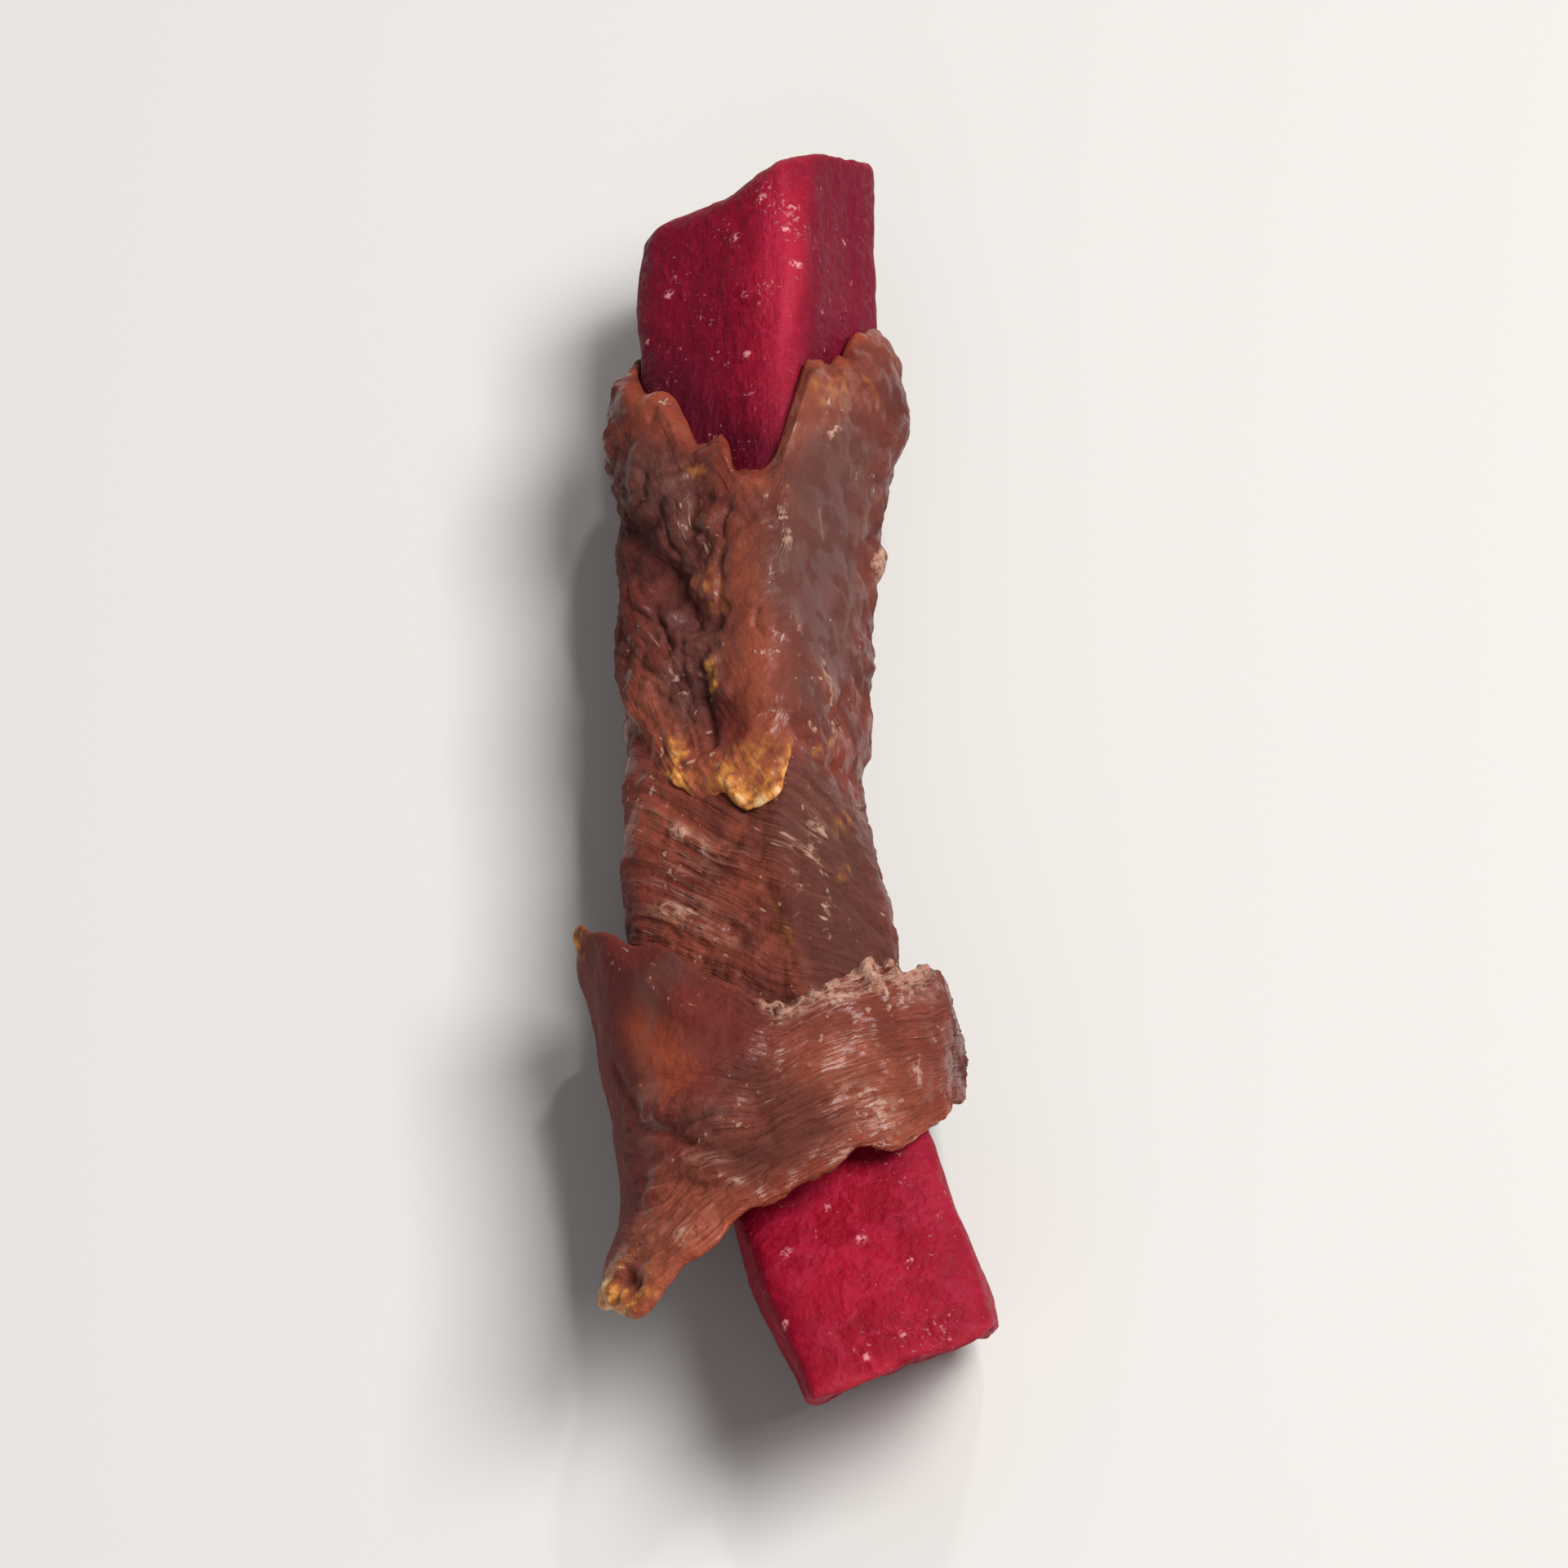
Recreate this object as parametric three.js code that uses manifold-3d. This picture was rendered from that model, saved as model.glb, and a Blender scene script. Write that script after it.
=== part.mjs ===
// A dog chew: a baton of dried purple sweet potato with one strip of duck breast wound round it.
// Millimetres, +Z up, +Y along the chew to its far end, +X to the right. The strip goes round in
// three turns: a middle turn lies on the baton, an upper turn laps over it and a cuff closes the
// near end. The chew lies on the flat that drying pressed into its underside.
import * as THREE from "three";
import { mergeVertices } from "three/addons/utils/BufferGeometryUtils.js";
import Module from "manifold-3d";

const wasm = await Module();
wasm.setup();

// Driving dimensions. A run is a list of [place along the chew, value], smooth between its places.
// An edge is a list of [degrees round the chew, place along it], with 0 at the right and 90 on top.
const BATON = {
  near: -34.0,
  far: 37.1,
  middleX: [[-36, 7.4], [-28, 4.2], [-20, 1.1], [-10, -1.3], [4, -2.2], [16, -2.0], [26, -1.5], [38, -1.2]],
  middleZ: [[-36, 7.1], [-28, 7.4], [-18, 7.8], [0, 7.9], [20, 7.8], [38, 8.2]],
  halfWidth: [[-36, 5.2], [-26, 5.7], [-17, 5.1], [0, 4.6], [14, 4.8], [24, 5.2], [38, 5.5]],
  twist: [[-36, 3], [-26, 6], [-18, 14], [-8, 22], [10, 25], [24, 28], [38, 30]],
  nearSlant: 0.2, // how much further the right side of the near cut lies, for each mm across
  nearLean: -0.5, // how much further its top lies, for each mm up
  farSlant: 0.42,
  farLean: -0.2,
  straight: 20, // distance from the middle where the sections start to slant towards the cuts
  endRounding: 0.6, // how much smaller all round the end faces are than the sides
};
const MIDDLE_TURN = {
  halfWidth: [[-24, 5.9], [-10, 6.2], [0, 5.85], [14, 5.7]],
  lowEdge: [[10, -19.5], [90, -23], [180, -23], [280, -20]],
  highEdge: [[0, 13], [180, 13]],
  thinnest: 0.9,
};
const UPPER_TURN = {
  halfWidth: [[-8, 6.15], [2, 6.15], [12, 6.1], [20, 6.2], [28, 6.2]],
  lowEdge: [[20, -0.8], [48, -1.2], [70, -0.4], [79, -2.8], [88, -5.2], [104, -3.6], [132, -0.6],
    [165, 4], [220, 9], [290, 8], [340, 2]],
  highEdge: [[0, 29.6], [20, 28.2], [38, 25.4], [54, 24.6], [63, 23.4], [69, 20.4], [74, 16.8],
    [81, 16.4], [92, 18.4], [108, 19], [124, 20.7], [140, 23.5], [162, 26.5], [195, 28.5],
    [240, 25.5], [290, 27.5], [330, 29.2]],
  thinnest: 1.3,
};
const CUFF = {
  middleX: -0.5,
  middleZ: 7.9,
  leftWidth: [[-34, 8.6], [-30, 8.3], [-26, 8.0], [-22, 8.4], [-16, 9.3], [-13, 9.8], [-10, 10.8]],
  rightWidth: [[-26, 9.6], [-22, 9.6], [-19, 10], [-16.5, 10.2], [-14, 9.6], [-11, 8.2]],
  height: [[-30, 8.2], [-24, 8.6], [-18, 8.9], [-10, 8.4]],
  lowEdge: [[0, -18.8], [20, -21.4], [42, -24.5], [62, -27], [85, -29], [108, -30.4], [130, -31.6],
    [150, -32.6], [166, -33.4], [180, -31], [196, -26], [220, -21], [260, -17.5], [320, -15]],
  highEdge: [[0, -12.4], [20, -12.9], [45, -14.4], [70, -17.2], [88, -18.4], [106, -16], [126, -12.8],
    [150, -11], [167, -9.8], [190, -10.4], [225, -9], [280, -7.5], [330, -10]],
  wall: 1.9, // thickness of the meat where the cuff stands off the baton
  thinnest: 1.15,
  rooted: 0.2, // how far from the baton its inside keeps: less than the clearance cut round the baton
  mouth: [-24, -19.5], // places between which the cuff comes off the baton
};
const SOFTNESS = { baton: 6, meat: 3.6, cuff: 2.7 }; // 2 is a round section, and more is squarer
const CLEARANCE = 0.35; // between the baton and the meat dried on to it
const RAGGED = { depth: 0.16, waves: [7, 11, 16] }; // tears along the strip's edges: waves in a turn
const LIP = { width: 0.025, depth: 0.28 }; // rounding of the strip's edges, as shares of its width and thickness
const CORE = 1.5; // reach of the inner turns' inside, well within what the baton cuts away

// Slow waves in the baton's sides, where it dried unevenly: depth, turns a wave per mm, and waves round.
const WAVES = [
  { depth: 0.02, perMm: 0.31, round: 3 },
  { depth: 0.015, perMm: 0.73, round: -1 },
];

// Swellings and hollows of the two inner turns: where each is, how far it spreads and its height.
const RELIEF = {
  rightCollar: { degrees: 0, place: 24.5, wide: 26, long: 4, high: 1.9 },
  rightWaist: { degrees: 0, place: 15.5, wide: 24, long: 4, high: -0.3 },
  leftLobe: { degrees: 142, place: 16.5, wide: 20, long: 4, high: 0.45 },
  leftHollow: { degrees: 125, place: 8, wide: 15, long: 6, high: -0.6 },
  ridgeStrap: { degrees: 78, place: 6, wide: 12, long: 10, high: 0.4 },
  rightFlat: { degrees: 35, place: 4, wide: 20, long: 12, high: -0.3 },
  rightFoot: { degrees: 10, place: -11, wide: 30, long: 6, high: 0.8 },
  lowerLeft: { degrees: 158, place: -9, wide: 26, long: 5, high: 0.3 },
  backFold: { degrees: 235, place: -3, wide: 20, long: 7, high: 0.5 },
  restingCorner: { degrees: 255, place: 15, wide: 17, long: 12, high: 1.4 },
};

// Steps of the meshes: round the chew, and along or across each piece.
const STEPS = {
  round: 44,
  innerTurn: 16,
  innerTurnInside: 2,
  cuff: 12,
  cuffInside: 8,
  baton: 34,
  batonSide: 8,
};
const radians = THREE.MathUtils.degToRad;
const { lerp, smoothstep } = THREE.MathUtils;

// The smooth value of a run at a place. Outside its stations it keeps the end values.
function along(run, place) {
  const last = run.length - 1;
  if (place <= run[0][0]) return run[0][1];
  if (place >= run[last][0]) return run[last][1];
  const i = run.findIndex(([at]) => at > place) - 1;
  const slope = (k) => {
    const before = run[Math.max(k - 1, 0)];
    const after = run[Math.min(k + 1, last)];
    return (after[1] - before[1]) / (after[0] - before[0]);
  };
  const span = run[i + 1][0] - run[i][0];
  const t = (place - run[i][0]) / span;
  const bend = span * t * (1 - t) * ((1 - t) * slope(i) - t * slope(i + 1));
  return lerp(run[i][1], run[i + 1][1], t * t * (3 - 2 * t)) + bend;
}

// The place of an edge at an angle, with the small tears that a cut strip of meat has.
function edgeAt(edge, angle) {
  const degrees = (THREE.MathUtils.radToDeg(angle) + 360) % 360;
  const turned = (by) => edge.map(([at, place]) => [at + by, place]);
  const tear = RAGGED.waves.reduce((sum, n, i) => sum + Math.sin(n * angle + 2 * i + edge[0][1]), 0);
  return along([...turned(-360), ...edge, ...turned(360)], degrees) + RAGGED.depth * tear;
}

// Distance from the middle to the outline of a rounded square, at an angle.
function squareReach(angle, half, twist, softness) {
  const c = Math.abs(Math.cos(angle - twist)) ** softness;
  const s = Math.abs(Math.sin(angle - twist)) ** softness;
  return half / (c + s) ** (1 / softness);
}

function twistAt(place) {
  return radians(along(BATON.twist, place));
}

function batonReach(angle, place) {
  const dried = WAVES.reduce((sum, w) => sum + w.depth * Math.sin(w.perMm * place + w.round * angle), 1);
  return dried * squareReach(angle, along(BATON.halfWidth, place), twistAt(place), SOFTNESS.baton);
}

// A point in the section of the baton at a place. The section stands square to the baton's middle line.
function sectionPoint(angle, reach, place) {
  const lean = Math.atan(along(BATON.middleX, place + 0.5) - along(BATON.middleX, place - 0.5));
  const across = reach * Math.cos(angle);
  return new THREE.Vector3(
    along(BATON.middleX, place) + across * Math.cos(lean),
    place - across * Math.sin(lean),
    along(BATON.middleZ, place) + reach * Math.sin(angle),
  );
}

function reliefAt(angle, place) {
  return Object.values(RELIEF).reduce((sum, lump) => {
    const turn = angle - radians(lump.degrees);
    const round = Math.atan2(Math.sin(turn), Math.cos(turn)) / radians(lump.wide);
    const lengthwise = (place - lump.place) / lump.long;
    return sum + lump.high * Math.exp(-(round ** 2) - lengthwise ** 2);
  }, 0);
}

// The outside of one of the two inner turns.
function turnReach(turn, angle, place) {
  const wound = squareReach(angle, along(turn.halfWidth, place), twistAt(place), SOFTNESS.meat);
  return Math.max(wound + reliefAt(angle, place), batonReach(angle, place) + turn.thinnest);
}

// The cuff's section is an oval that is wider to one side, round a middle line of its own.
function cuffReach(angle, place) {
  const side = Math.cos(angle) > 0 ? CUFF.rightWidth : CUFF.leftWidth;
  const c = Math.abs(Math.cos(angle) / along(side, place)) ** SOFTNESS.cuff;
  const s = Math.abs(Math.sin(angle) / along(CUFF.height, place)) ** SOFTNESS.cuff;
  return 1 / (c + s) ** (1 / SOFTNESS.cuff);
}

// Moves a point outwards until it lies at least a given distance outside the baton.
function liftOffBaton(point, distance) {
  const across = point.x - along(BATON.middleX, point.y);
  const up = point.z - along(BATON.middleZ, point.y);
  const angle = Math.atan2(up, across);
  const least = batonReach(angle, point.y) + distance;
  const now = Math.hypot(across, up);
  if (now >= least) return point;
  return point.add(new THREE.Vector3(across, 0, up).multiplyScalar(least / now - 1));
}

function cuffPoint(angle, place, depth) {
  const outer = cuffReach(angle, place);
  const open = smoothstep(-place, -CUFF.mouth[1], -CUFF.mouth[0]);
  const reach = lerp(lerp(outer / 2, outer - CUFF.wall, open), outer, depth);
  const point = new THREE.Vector3(
    CUFF.middleX + reach * Math.cos(angle),
    place,
    CUFF.middleZ + reach * Math.sin(angle),
  );
  return liftOffBaton(point, depth > 0.5 ? CUFF.thinnest : CUFF.rooted);
}

// The wall of a turn in section: x is 1 on the inside and 2 on the outside, y runs from 0 at the
// low edge to 1 at the high edge. The two edges are rounded on the outside.
function wallProfile(outsideSteps, insideSteps) {
  const row = (x, from, to, steps) =>
    Array.from({ length: steps + 1 }, (_, i) => new THREE.Vector2(x, lerp(from, to, i / steps)));
  const outside = row(2, LIP.width, 1 - LIP.width, outsideSteps);
  const inside = row(1, 1, 0, insideSteps);
  const highLip = new THREE.Vector2(2 - LIP.depth, 1);
  const lowLip = new THREE.Vector2(2 - LIP.depth, 0);
  return [lowLip, ...outside, highLip, ...inside, lowLip];
}

// One turn of the strip: a closed ring, shaped by a function of the angle, the share of its width and
// the depth in its wall. What would reach below the floor is pressed flat.
function ring(outsideSteps, insideSteps, place) {
  const geometry = new THREE.LatheGeometry(wallProfile(outsideSteps, insideSteps), STEPS.round);
  const { position, uv } = geometry.attributes;
  for (let i = 0; i < position.count; i++) {
    const angle = -2 * Math.PI * uv.getX(i);
    const depth = Math.hypot(position.getX(i), position.getZ(i)) - 1;
    const point = place(angle, position.getY(i), depth);
    position.setXYZ(i, point.x, point.y, Math.max(point.z, 0));
  }
  return geometry;
}

function innerTurn(turn) {
  return ring(STEPS.innerTurn, STEPS.innerTurnInside, (angle, share, depth) => {
    const place = lerp(edgeAt(turn.lowEdge, angle), edgeAt(turn.highEdge, angle), share);
    return sectionPoint(angle, lerp(CORE, turnReach(turn, angle, place), depth), place);
  });
}

function cuff() {
  return ring(STEPS.cuff, STEPS.cuffInside, (angle, share, depth) => {
    const place = lerp(edgeAt(CUFF.lowEdge, angle), edgeAt(CUFF.highEdge, angle), share);
    return cuffPoint(angle, place, depth);
  });
}

// The baton, larger all round by a margin: a box bent, twisted and cut to the baton's form. Its
// slanted cuts are eased in over the last stretch at each end.
function baton(margin) {
  const geometry = new THREE.BoxGeometry(2, 2, 2, STEPS.batonSide, STEPS.baton, STEPS.batonSide);
  const { position } = geometry.attributes;
  for (let i = 0; i < position.count; i++) {
    const [x, y, z] = [position.getX(i), position.getY(i), position.getZ(i)];
    const place = lerp(BATON.near - margin, BATON.far + margin, (y + 1) / 2);
    const rim = Math.max(Math.abs(x), Math.abs(z));
    const angle = Math.atan2(z, x) + twistAt(place);
    const rounding = Math.abs(y) === 1 ? BATON.endRounding : 0;
    const reach = rim * (batonReach(angle, place) + margin - rounding);
    const point = sectionPoint(angle, reach, place);
    const [across, up] = [reach * Math.cos(angle), reach * Math.sin(angle)];
    const nearShare = smoothstep(-place, BATON.straight, -BATON.near);
    const farShare = smoothstep(place, BATON.straight, BATON.far);
    point.y += nearShare * (BATON.nearSlant * across + BATON.nearLean * up);
    point.y += farShare * (BATON.farSlant * across + BATON.farLean * up);
    position.setXYZ(i, point.x, point.y, point.z);
  }
  return geometry;
}

// A solid of a closed geometry: equal corners are joined, and triangles with no area are left out.
function solidOf(geometry) {
  const bare = new THREE.BufferGeometry().setAttribute("position", geometry.getAttribute("position"));
  bare.setIndex(geometry.index);
  const merged = mergeVertices(bare, 1e-4);
  const corners = merged.index.array;
  const kept = [];
  for (let i = 0; i < corners.length; i += 3) {
    const [a, b, c] = corners.subarray(i, i + 3);
    if (a !== b && b !== c && a !== c) kept.push(a, b, c);
  }
  const mesh = new wasm.Mesh({
    numProp: 3,
    vertProperties: new Float32Array(merged.attributes.position.array),
    triVerts: new Uint32Array(kept),
  });
  return new wasm.Manifold(mesh);
}

function geometryOf(solid) {
  const mesh = solid.getMesh();
  const geometry = new THREE.BufferGeometry();
  geometry.setAttribute("position", new THREE.BufferAttribute(mesh.vertProperties, 3));
  geometry.setIndex(new THREE.BufferAttribute(mesh.triVerts, 1));
  geometry.computeVertexNormals();
  return geometry;
}

function duckStrip() {
  const turns = [innerTurn(MIDDLE_TURN), innerTurn(UPPER_TURN), cuff()].map(solidOf);
  const wound = turns[0].add(turns[1]).add(turns[2]).subtract(solidOf(baton(CLEARANCE)));
  const material = new THREE.MeshStandardMaterial({ color: 0x6b3a2c, roughness: 0.5, metalness: 0 });
  const mesh = new THREE.Mesh(geometryOf(wound), material);
  mesh.name = "duck_strip";
  return mesh;
}

function sweetPotato() {
  const material = new THREE.MeshStandardMaterial({ color: 0x9a1236, roughness: 0.7, metalness: 0 });
  const mesh = new THREE.Mesh(geometryOf(solidOf(baton(0))), material);
  mesh.name = "sweet_potato";
  return mesh;
}

// Puts the origin on the floor under the middle of the chew's box.
function centred(group) {
  const box = new THREE.Box3().setFromObject(group, true);
  const middle = box.getCenter(new THREE.Vector3());
  group.position.set(-middle.x, -middle.y, -box.min.z);
  const stand = new THREE.Group();
  stand.add(group);
  return stand;
}

const chew = new THREE.Group();
chew.add(duckStrip(), sweetPotato());

export default centred(chew);
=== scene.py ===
"""A dog chew: a baton of dried purple sweet potato with one strip of duck breast wound round it.

The strip goes round in three turns: a middle turn lies on the baton, an upper turn laps over it and
a cuff closes the near end. Forms are given in millimetres from the middle of the baton, as in the
part's source, and OFFSET takes them into the frame. Angles go round the chew: 0 is its right side,
90 its top, and they grow to the left, seen from the near end.
"""
import math

import bpy
import numpy as np
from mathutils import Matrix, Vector, noise


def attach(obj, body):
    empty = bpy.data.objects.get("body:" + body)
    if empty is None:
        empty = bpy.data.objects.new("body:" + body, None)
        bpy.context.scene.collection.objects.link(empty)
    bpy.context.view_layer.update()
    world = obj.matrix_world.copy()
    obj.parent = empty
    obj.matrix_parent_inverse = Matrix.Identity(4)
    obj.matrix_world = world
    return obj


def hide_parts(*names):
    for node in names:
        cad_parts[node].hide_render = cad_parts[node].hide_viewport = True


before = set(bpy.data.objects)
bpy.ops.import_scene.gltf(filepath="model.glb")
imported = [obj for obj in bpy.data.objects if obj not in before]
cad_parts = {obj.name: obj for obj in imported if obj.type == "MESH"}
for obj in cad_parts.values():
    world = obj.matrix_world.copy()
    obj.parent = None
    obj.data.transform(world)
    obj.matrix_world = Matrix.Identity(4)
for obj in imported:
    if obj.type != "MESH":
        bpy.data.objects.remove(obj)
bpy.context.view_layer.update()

MM = 0.001
OFFSET = np.array([-0.044, -0.617, 0.0])

# Forms of the part. A run is a list of (place along the chew, value), smooth between its places.
# An edge is a list of (degrees round the chew, place along it). A pair in round brackets is where a
# change starts and where it is complete, along the chew or in degrees round it.
BATON = {
    "near": -34.5,
    "far": 37.8,
    "middle_x": [
        (-36, 6.8), (-28, 4.05), (-20, 1.1), (-10, -1.3), (4, -2.2), (16, -2.0), (26, -1.6), (38, -1.35),
    ],
    "middle_z": [(-36, 7.1), (-28, 7.4), (-18, 7.8), (0, 7.9), (20, 7.8), (38, 8.2)],
    "half_width": [(-36, 5.2), (-26, 5.7), (-17, 5.1), (0, 4.6), (14, 4.8), (24, 5.3), (38, 5.7)],
    "twist": [(-36, -1), (-26, 4), (-18, 13), (-8, 22), (10, 25), (24, 28), (38, 30)],
    "near_slant": 0.1,
    "near_lean": -0.5,
    "far_slant": 0.44,
    "far_lean": -0.27,
    "straight": 20,
    "top_corner": 50,
    "bare_ends": [(12, 16), (-18, -22)],
    "far_end": (0, 10),
    # Where the near end's sides are painted in shade, in degrees round the baton.
    "near_sides": [(104, 135), (80, 50)],
}
MIDDLE_TURN = {
    "half_width": [(-24, 5.9), (-10, 6.2), (0, 5.85), (14, 5.7)],
    "low_edge": [(10, -19.5), (90, -23), (180, -23), (280, -20)],
    "high_edge": [(0, 11.5), (180, 11.5)],
    "thinnest": 0.9,
    "pressed": (-1.5, 2.5),
    "pressed_depth": 0.45,
    "strand_slope": 0.85,
    "strand_middle": 112,
}
UPPER_TURN = {
    "half_width": [(-8, 6.15), (2, 6.15), (12, 6.1), (20, 6.2), (28, 6.2)],
    "low_edge": [
        (20, -0.8), (48, -1.2), (67, -0.8), (73, -2.4), (77, -4.0), (83, -4.7), (92, -4.8), (100, -4.0),
        (112, -3.3), (124, -2.6), (134, -1.4), (146, 0.6), (165, 4), (220, 9), (290, 8), (340, 2),
    ],
    "high_edge": [
        (0, 29.6), (20, 27.9), (34, 25.5), (44, 24.6), (56, 24.6), (64, 23.6), (70, 21.0), (75, 18.2),
        (80, 17.0), (88, 16.9), (96, 17.6), (103, 19.1), (114, 19.4), (122, 19.6), (129, 20.7), (138, 22.6),
        (150, 23.6), (164, 25.6), (195, 28.0), (240, 25.5), (290, 27.5), (330, 29.2),
    ],
    "thinnest": 1.3,
    "leaves_middle_turn": (10, 12.5),
    "tongue_width": 2.2,
    "collar_width": 1.4,
    "collar": 0.6,
    "least_wall": 0.25,
    "least_height": 0.6,
    "tongue": [(66, 75), (108, 94)],
    # Where the painted glow of the thin high rim fades out, in degrees.
    "thin_rim": (300, 200),
    "strand_lean": 3.0,
}
CUFF = {
    "middle_x": -0.5,
    "middle_z": 7.9,
    "left_width": [(-33, 9.6), (-30, 8.9), (-26, 8.15), (-22, 8.4), (-16, 9.3), (-13, 9.8), (-10, 10.8)],
    "right_width": [(-26, 9.6), (-22, 9.6), (-19, 10), (-16.5, 10.2), (-14, 9.6), (-11, 8.2)],
    "height": [(-30, 8.2), (-24, 8.6), (-18, 8.9), (-10, 8.4)],
    "low_edge": [
        (0, -18.8), (20, -21.4), (42, -24.8), (54, -26), (64, -26.8), (81, -28.3), (94, -29.5),
        (106, -30.8), (119, -32.5), (128, -34), (137, -34.8), (148, -34.3), (158, -33.3), (167, -31.9),
        (174, -30.2), (182, -28), (192, -25.8), (204, -23.6), (220, -21), (260, -17.5), (320, -15),
    ],
    "high_edge": [
        (0, -12.4), (20, -12.9), (41, -14.5), (54, -15.5), (64, -16.2), (80, -17.3), (88, -17.9),
        (95, -17.9), (104, -16.9), (112, -15.9), (122, -14.9), (132, -13.3), (143, -12.2), (156, -11.0),
        (168, -9.7), (190, -10.4), (225, -9), (280, -7.5), (330, -10),
    ],
    "mouth": (-19.5, -24),
    "rim_wall": 0.6,
    "wall": 1.5,
    "width": 17,
    "on_middle_turn": (-24, -20),
    "left_wall": [(148, 160), (230, 200)],
    "frayed": [(103, 92), (28, 42)],
    "widely_frayed": (100, 70),
}
SOFTNESS = {"baton": [(-30, 9), (-20, 6), (22, 6), (30, 5), (37, 3.4)], "meat": 3.6, "cuff": 2.7}

# Small tears all along an edge, as waves round the chew, and larger ones as noise: size and depth.
RAGGED = {"depth": 0.16, "waves": (7, 11, 16)}
TEARS = [(3.0, 0.5), (1.1, 0.3), (0.45, 0.16)]

# The dried baton's own waves: depth, turns along it and turns round it.
WAVES = [(0.02, 0.31, 3), (0.015, 0.73, -1)]

# Swellings and hollows of the inner turns: degrees, place, degrees wide, millimetres long, height.
SWELLINGS = [
    (0, 24.5, 26, 4, 1.6),
    (175, 19, 18, 5, -0.8),
    (0, 15.5, 24, 4, -0.3),
    (142, 16.5, 20, 4, 0.45),
    (125, 8, 15, 6, -0.6),
    (78, 6, 12, 10, 0.4),
    (35, 4, 20, 12, -0.3),
    (10, -11, 30, 6, 0.8),
    (158, -9, 26, 5, 0.3),
    (235, -3, 20, 7, 0.5),
    (255, 15, 17, 12, 1.4),
]

# Folds and grooves of each turn's skin, then its lines of pale flakes with painted glints, and of fat:
# the line each follows as (degrees, place), its width and its height or strength. A groove's height is
# negative.
UPPER_FOLDS = [
    ([(182, 17.5), (156, 14.6), (140, 12.2), (126, 9.8), (116, 8)], 0.9, -0.8),
    ([(165, 20.5), (140, 17.2), (124, 15)], 1.7, 0.5),
    ([(150, 10.6), (137, 8.6), (121, 6.6)], 0.9, 0.4),
    ([(126, 6.5), (118, 3.5), (112, 0.5)], 1.3, -0.35),
    ([(92, 14), (90, 9), (87, 5), (84, 2)], 1.5, 0.3),
    ([(98, 14), (101, 11), (103, 7)], 0.4, -0.35),
    ([(84, 7.2), (84.5, 6.2), (81, 5.4)], 0.16, -0.22),
    ([(112, 4), (109, 2), (107, -0.2)], 0.4, -0.45),
    ([(104, 4.8), (104, 3), (99, 2.6)], 0.45, 0.4),
    ([(101, 1.4), (93, 0.8), (90, 0)], 1.1, -0.2),
    ([(128, -2), (114, -2.6), (100, -3)], 0.7, 0.25),
    ([(76, 16), (72, 12), (70, 6), (70, 1)], 0.5, 0.2),
    ([(60, 18), (55, 12), (50, 7)], 2.0, -0.15),
    ([(50, 4.4), (44, 3.8)], 0.6, 0.3),
    ([(350, 16.2), (356, 14.6)], 0.6, 0.6),
]
UPPER_FLAKES_AND_GLINTS = [
    ([(86, 4.2), (76, 4.4), (66, 4.7)], 0.35, 0.6),
    ([(67, 6.5), (67, 6.0)], 0.26, 1.0),
    ([(51, 19.6), (46, 20.4)], 0.3, 0.9),
    ([(72, 14.4), (75, 13), (71, 11.2)], 0.5, 0.55),
    ([(104, 15), (103, 14.7)], 0.28, 0.9),
    ([(136, 7), (124, 5), (117, 2.4)], 1.2, 0.38),
    ([(120, 14), (104, 12)], 1.4, 0.35),
    ([(150, -1), (128, 1), (116, -1)], 1.4, 0.35),
    ([(62, 0), (50, 4), (36, 2)], 1.4, 0.4),
    ([(101, -3.6), (100.5, -3.8)], 0.22, 1.1),
    ([(351, 15.9), (357, 14.5)], 0.55, 1.6),
    ([(73, 15.4), (73, 15.1)], 0.25, 0.7),
    ([(76, 13.9), (75, 13.6)], 0.2, 0.7),
    ([(72, 12), (72, 11.6)], 0.22, 0.65),
    ([(69, 7.2), (70, 6.8)], 0.25, 0.8),
    ([(47, 21), (45, 21.6)], 0.26, 0.7),
    ([(49, 6.2), (46, 5.2), (42, 4)], 0.5, 0.6),
    ([(41, 3.6), (37, 1.6)], 0.5, 0.6),
    ([(102, 10.2), (103, 9.2)], 0.5, 0.35),
    ([(114, 8), (112, 7)], 0.5, 0.3),
]
UPPER_FAT = [
    ([(130, -1.6), (126, -2.4)], 0.8, 0.7),
    ([(127, 0.4), (125, -0.4)], 0.7, 0.4),
    ([(106, 4.7), (105, 3.1)], 0.35, 0.6),
    ([(108, 10.4), (102, 8.6)], 1.0, 0.25),
    ([(118, 17), (108, 16.4)], 0.9, 0.2),
    ([(55, -0.8), (43, 0.4), (34, 1.6)], 0.5, 0.2),
    ([(48, 4.6), (47, 3.8)], 0.5, 0.2),
    ([(60, 22), (44, 22.6), (30, 24)], 1.4, 0.2),
]
MIDDLE_FOLDS = [
    ([(78, 2), (78, -6), (80, -12), (82, -17)], 0.6, 0.2),
    ([(60, -8.4), (40, -10.2), (20, -11)], 0.5, -0.3),
    ([(150, -6), (128, -9.4), (104, -12)], 0.4, -0.12),
    ([(130, -4.6), (117, -6.2), (98, -7.8)], 0.35, 0.14),
    ([(141, -8.8), (124, -10.6), (106, -12)], 0.4, 0.14),
]
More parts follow.
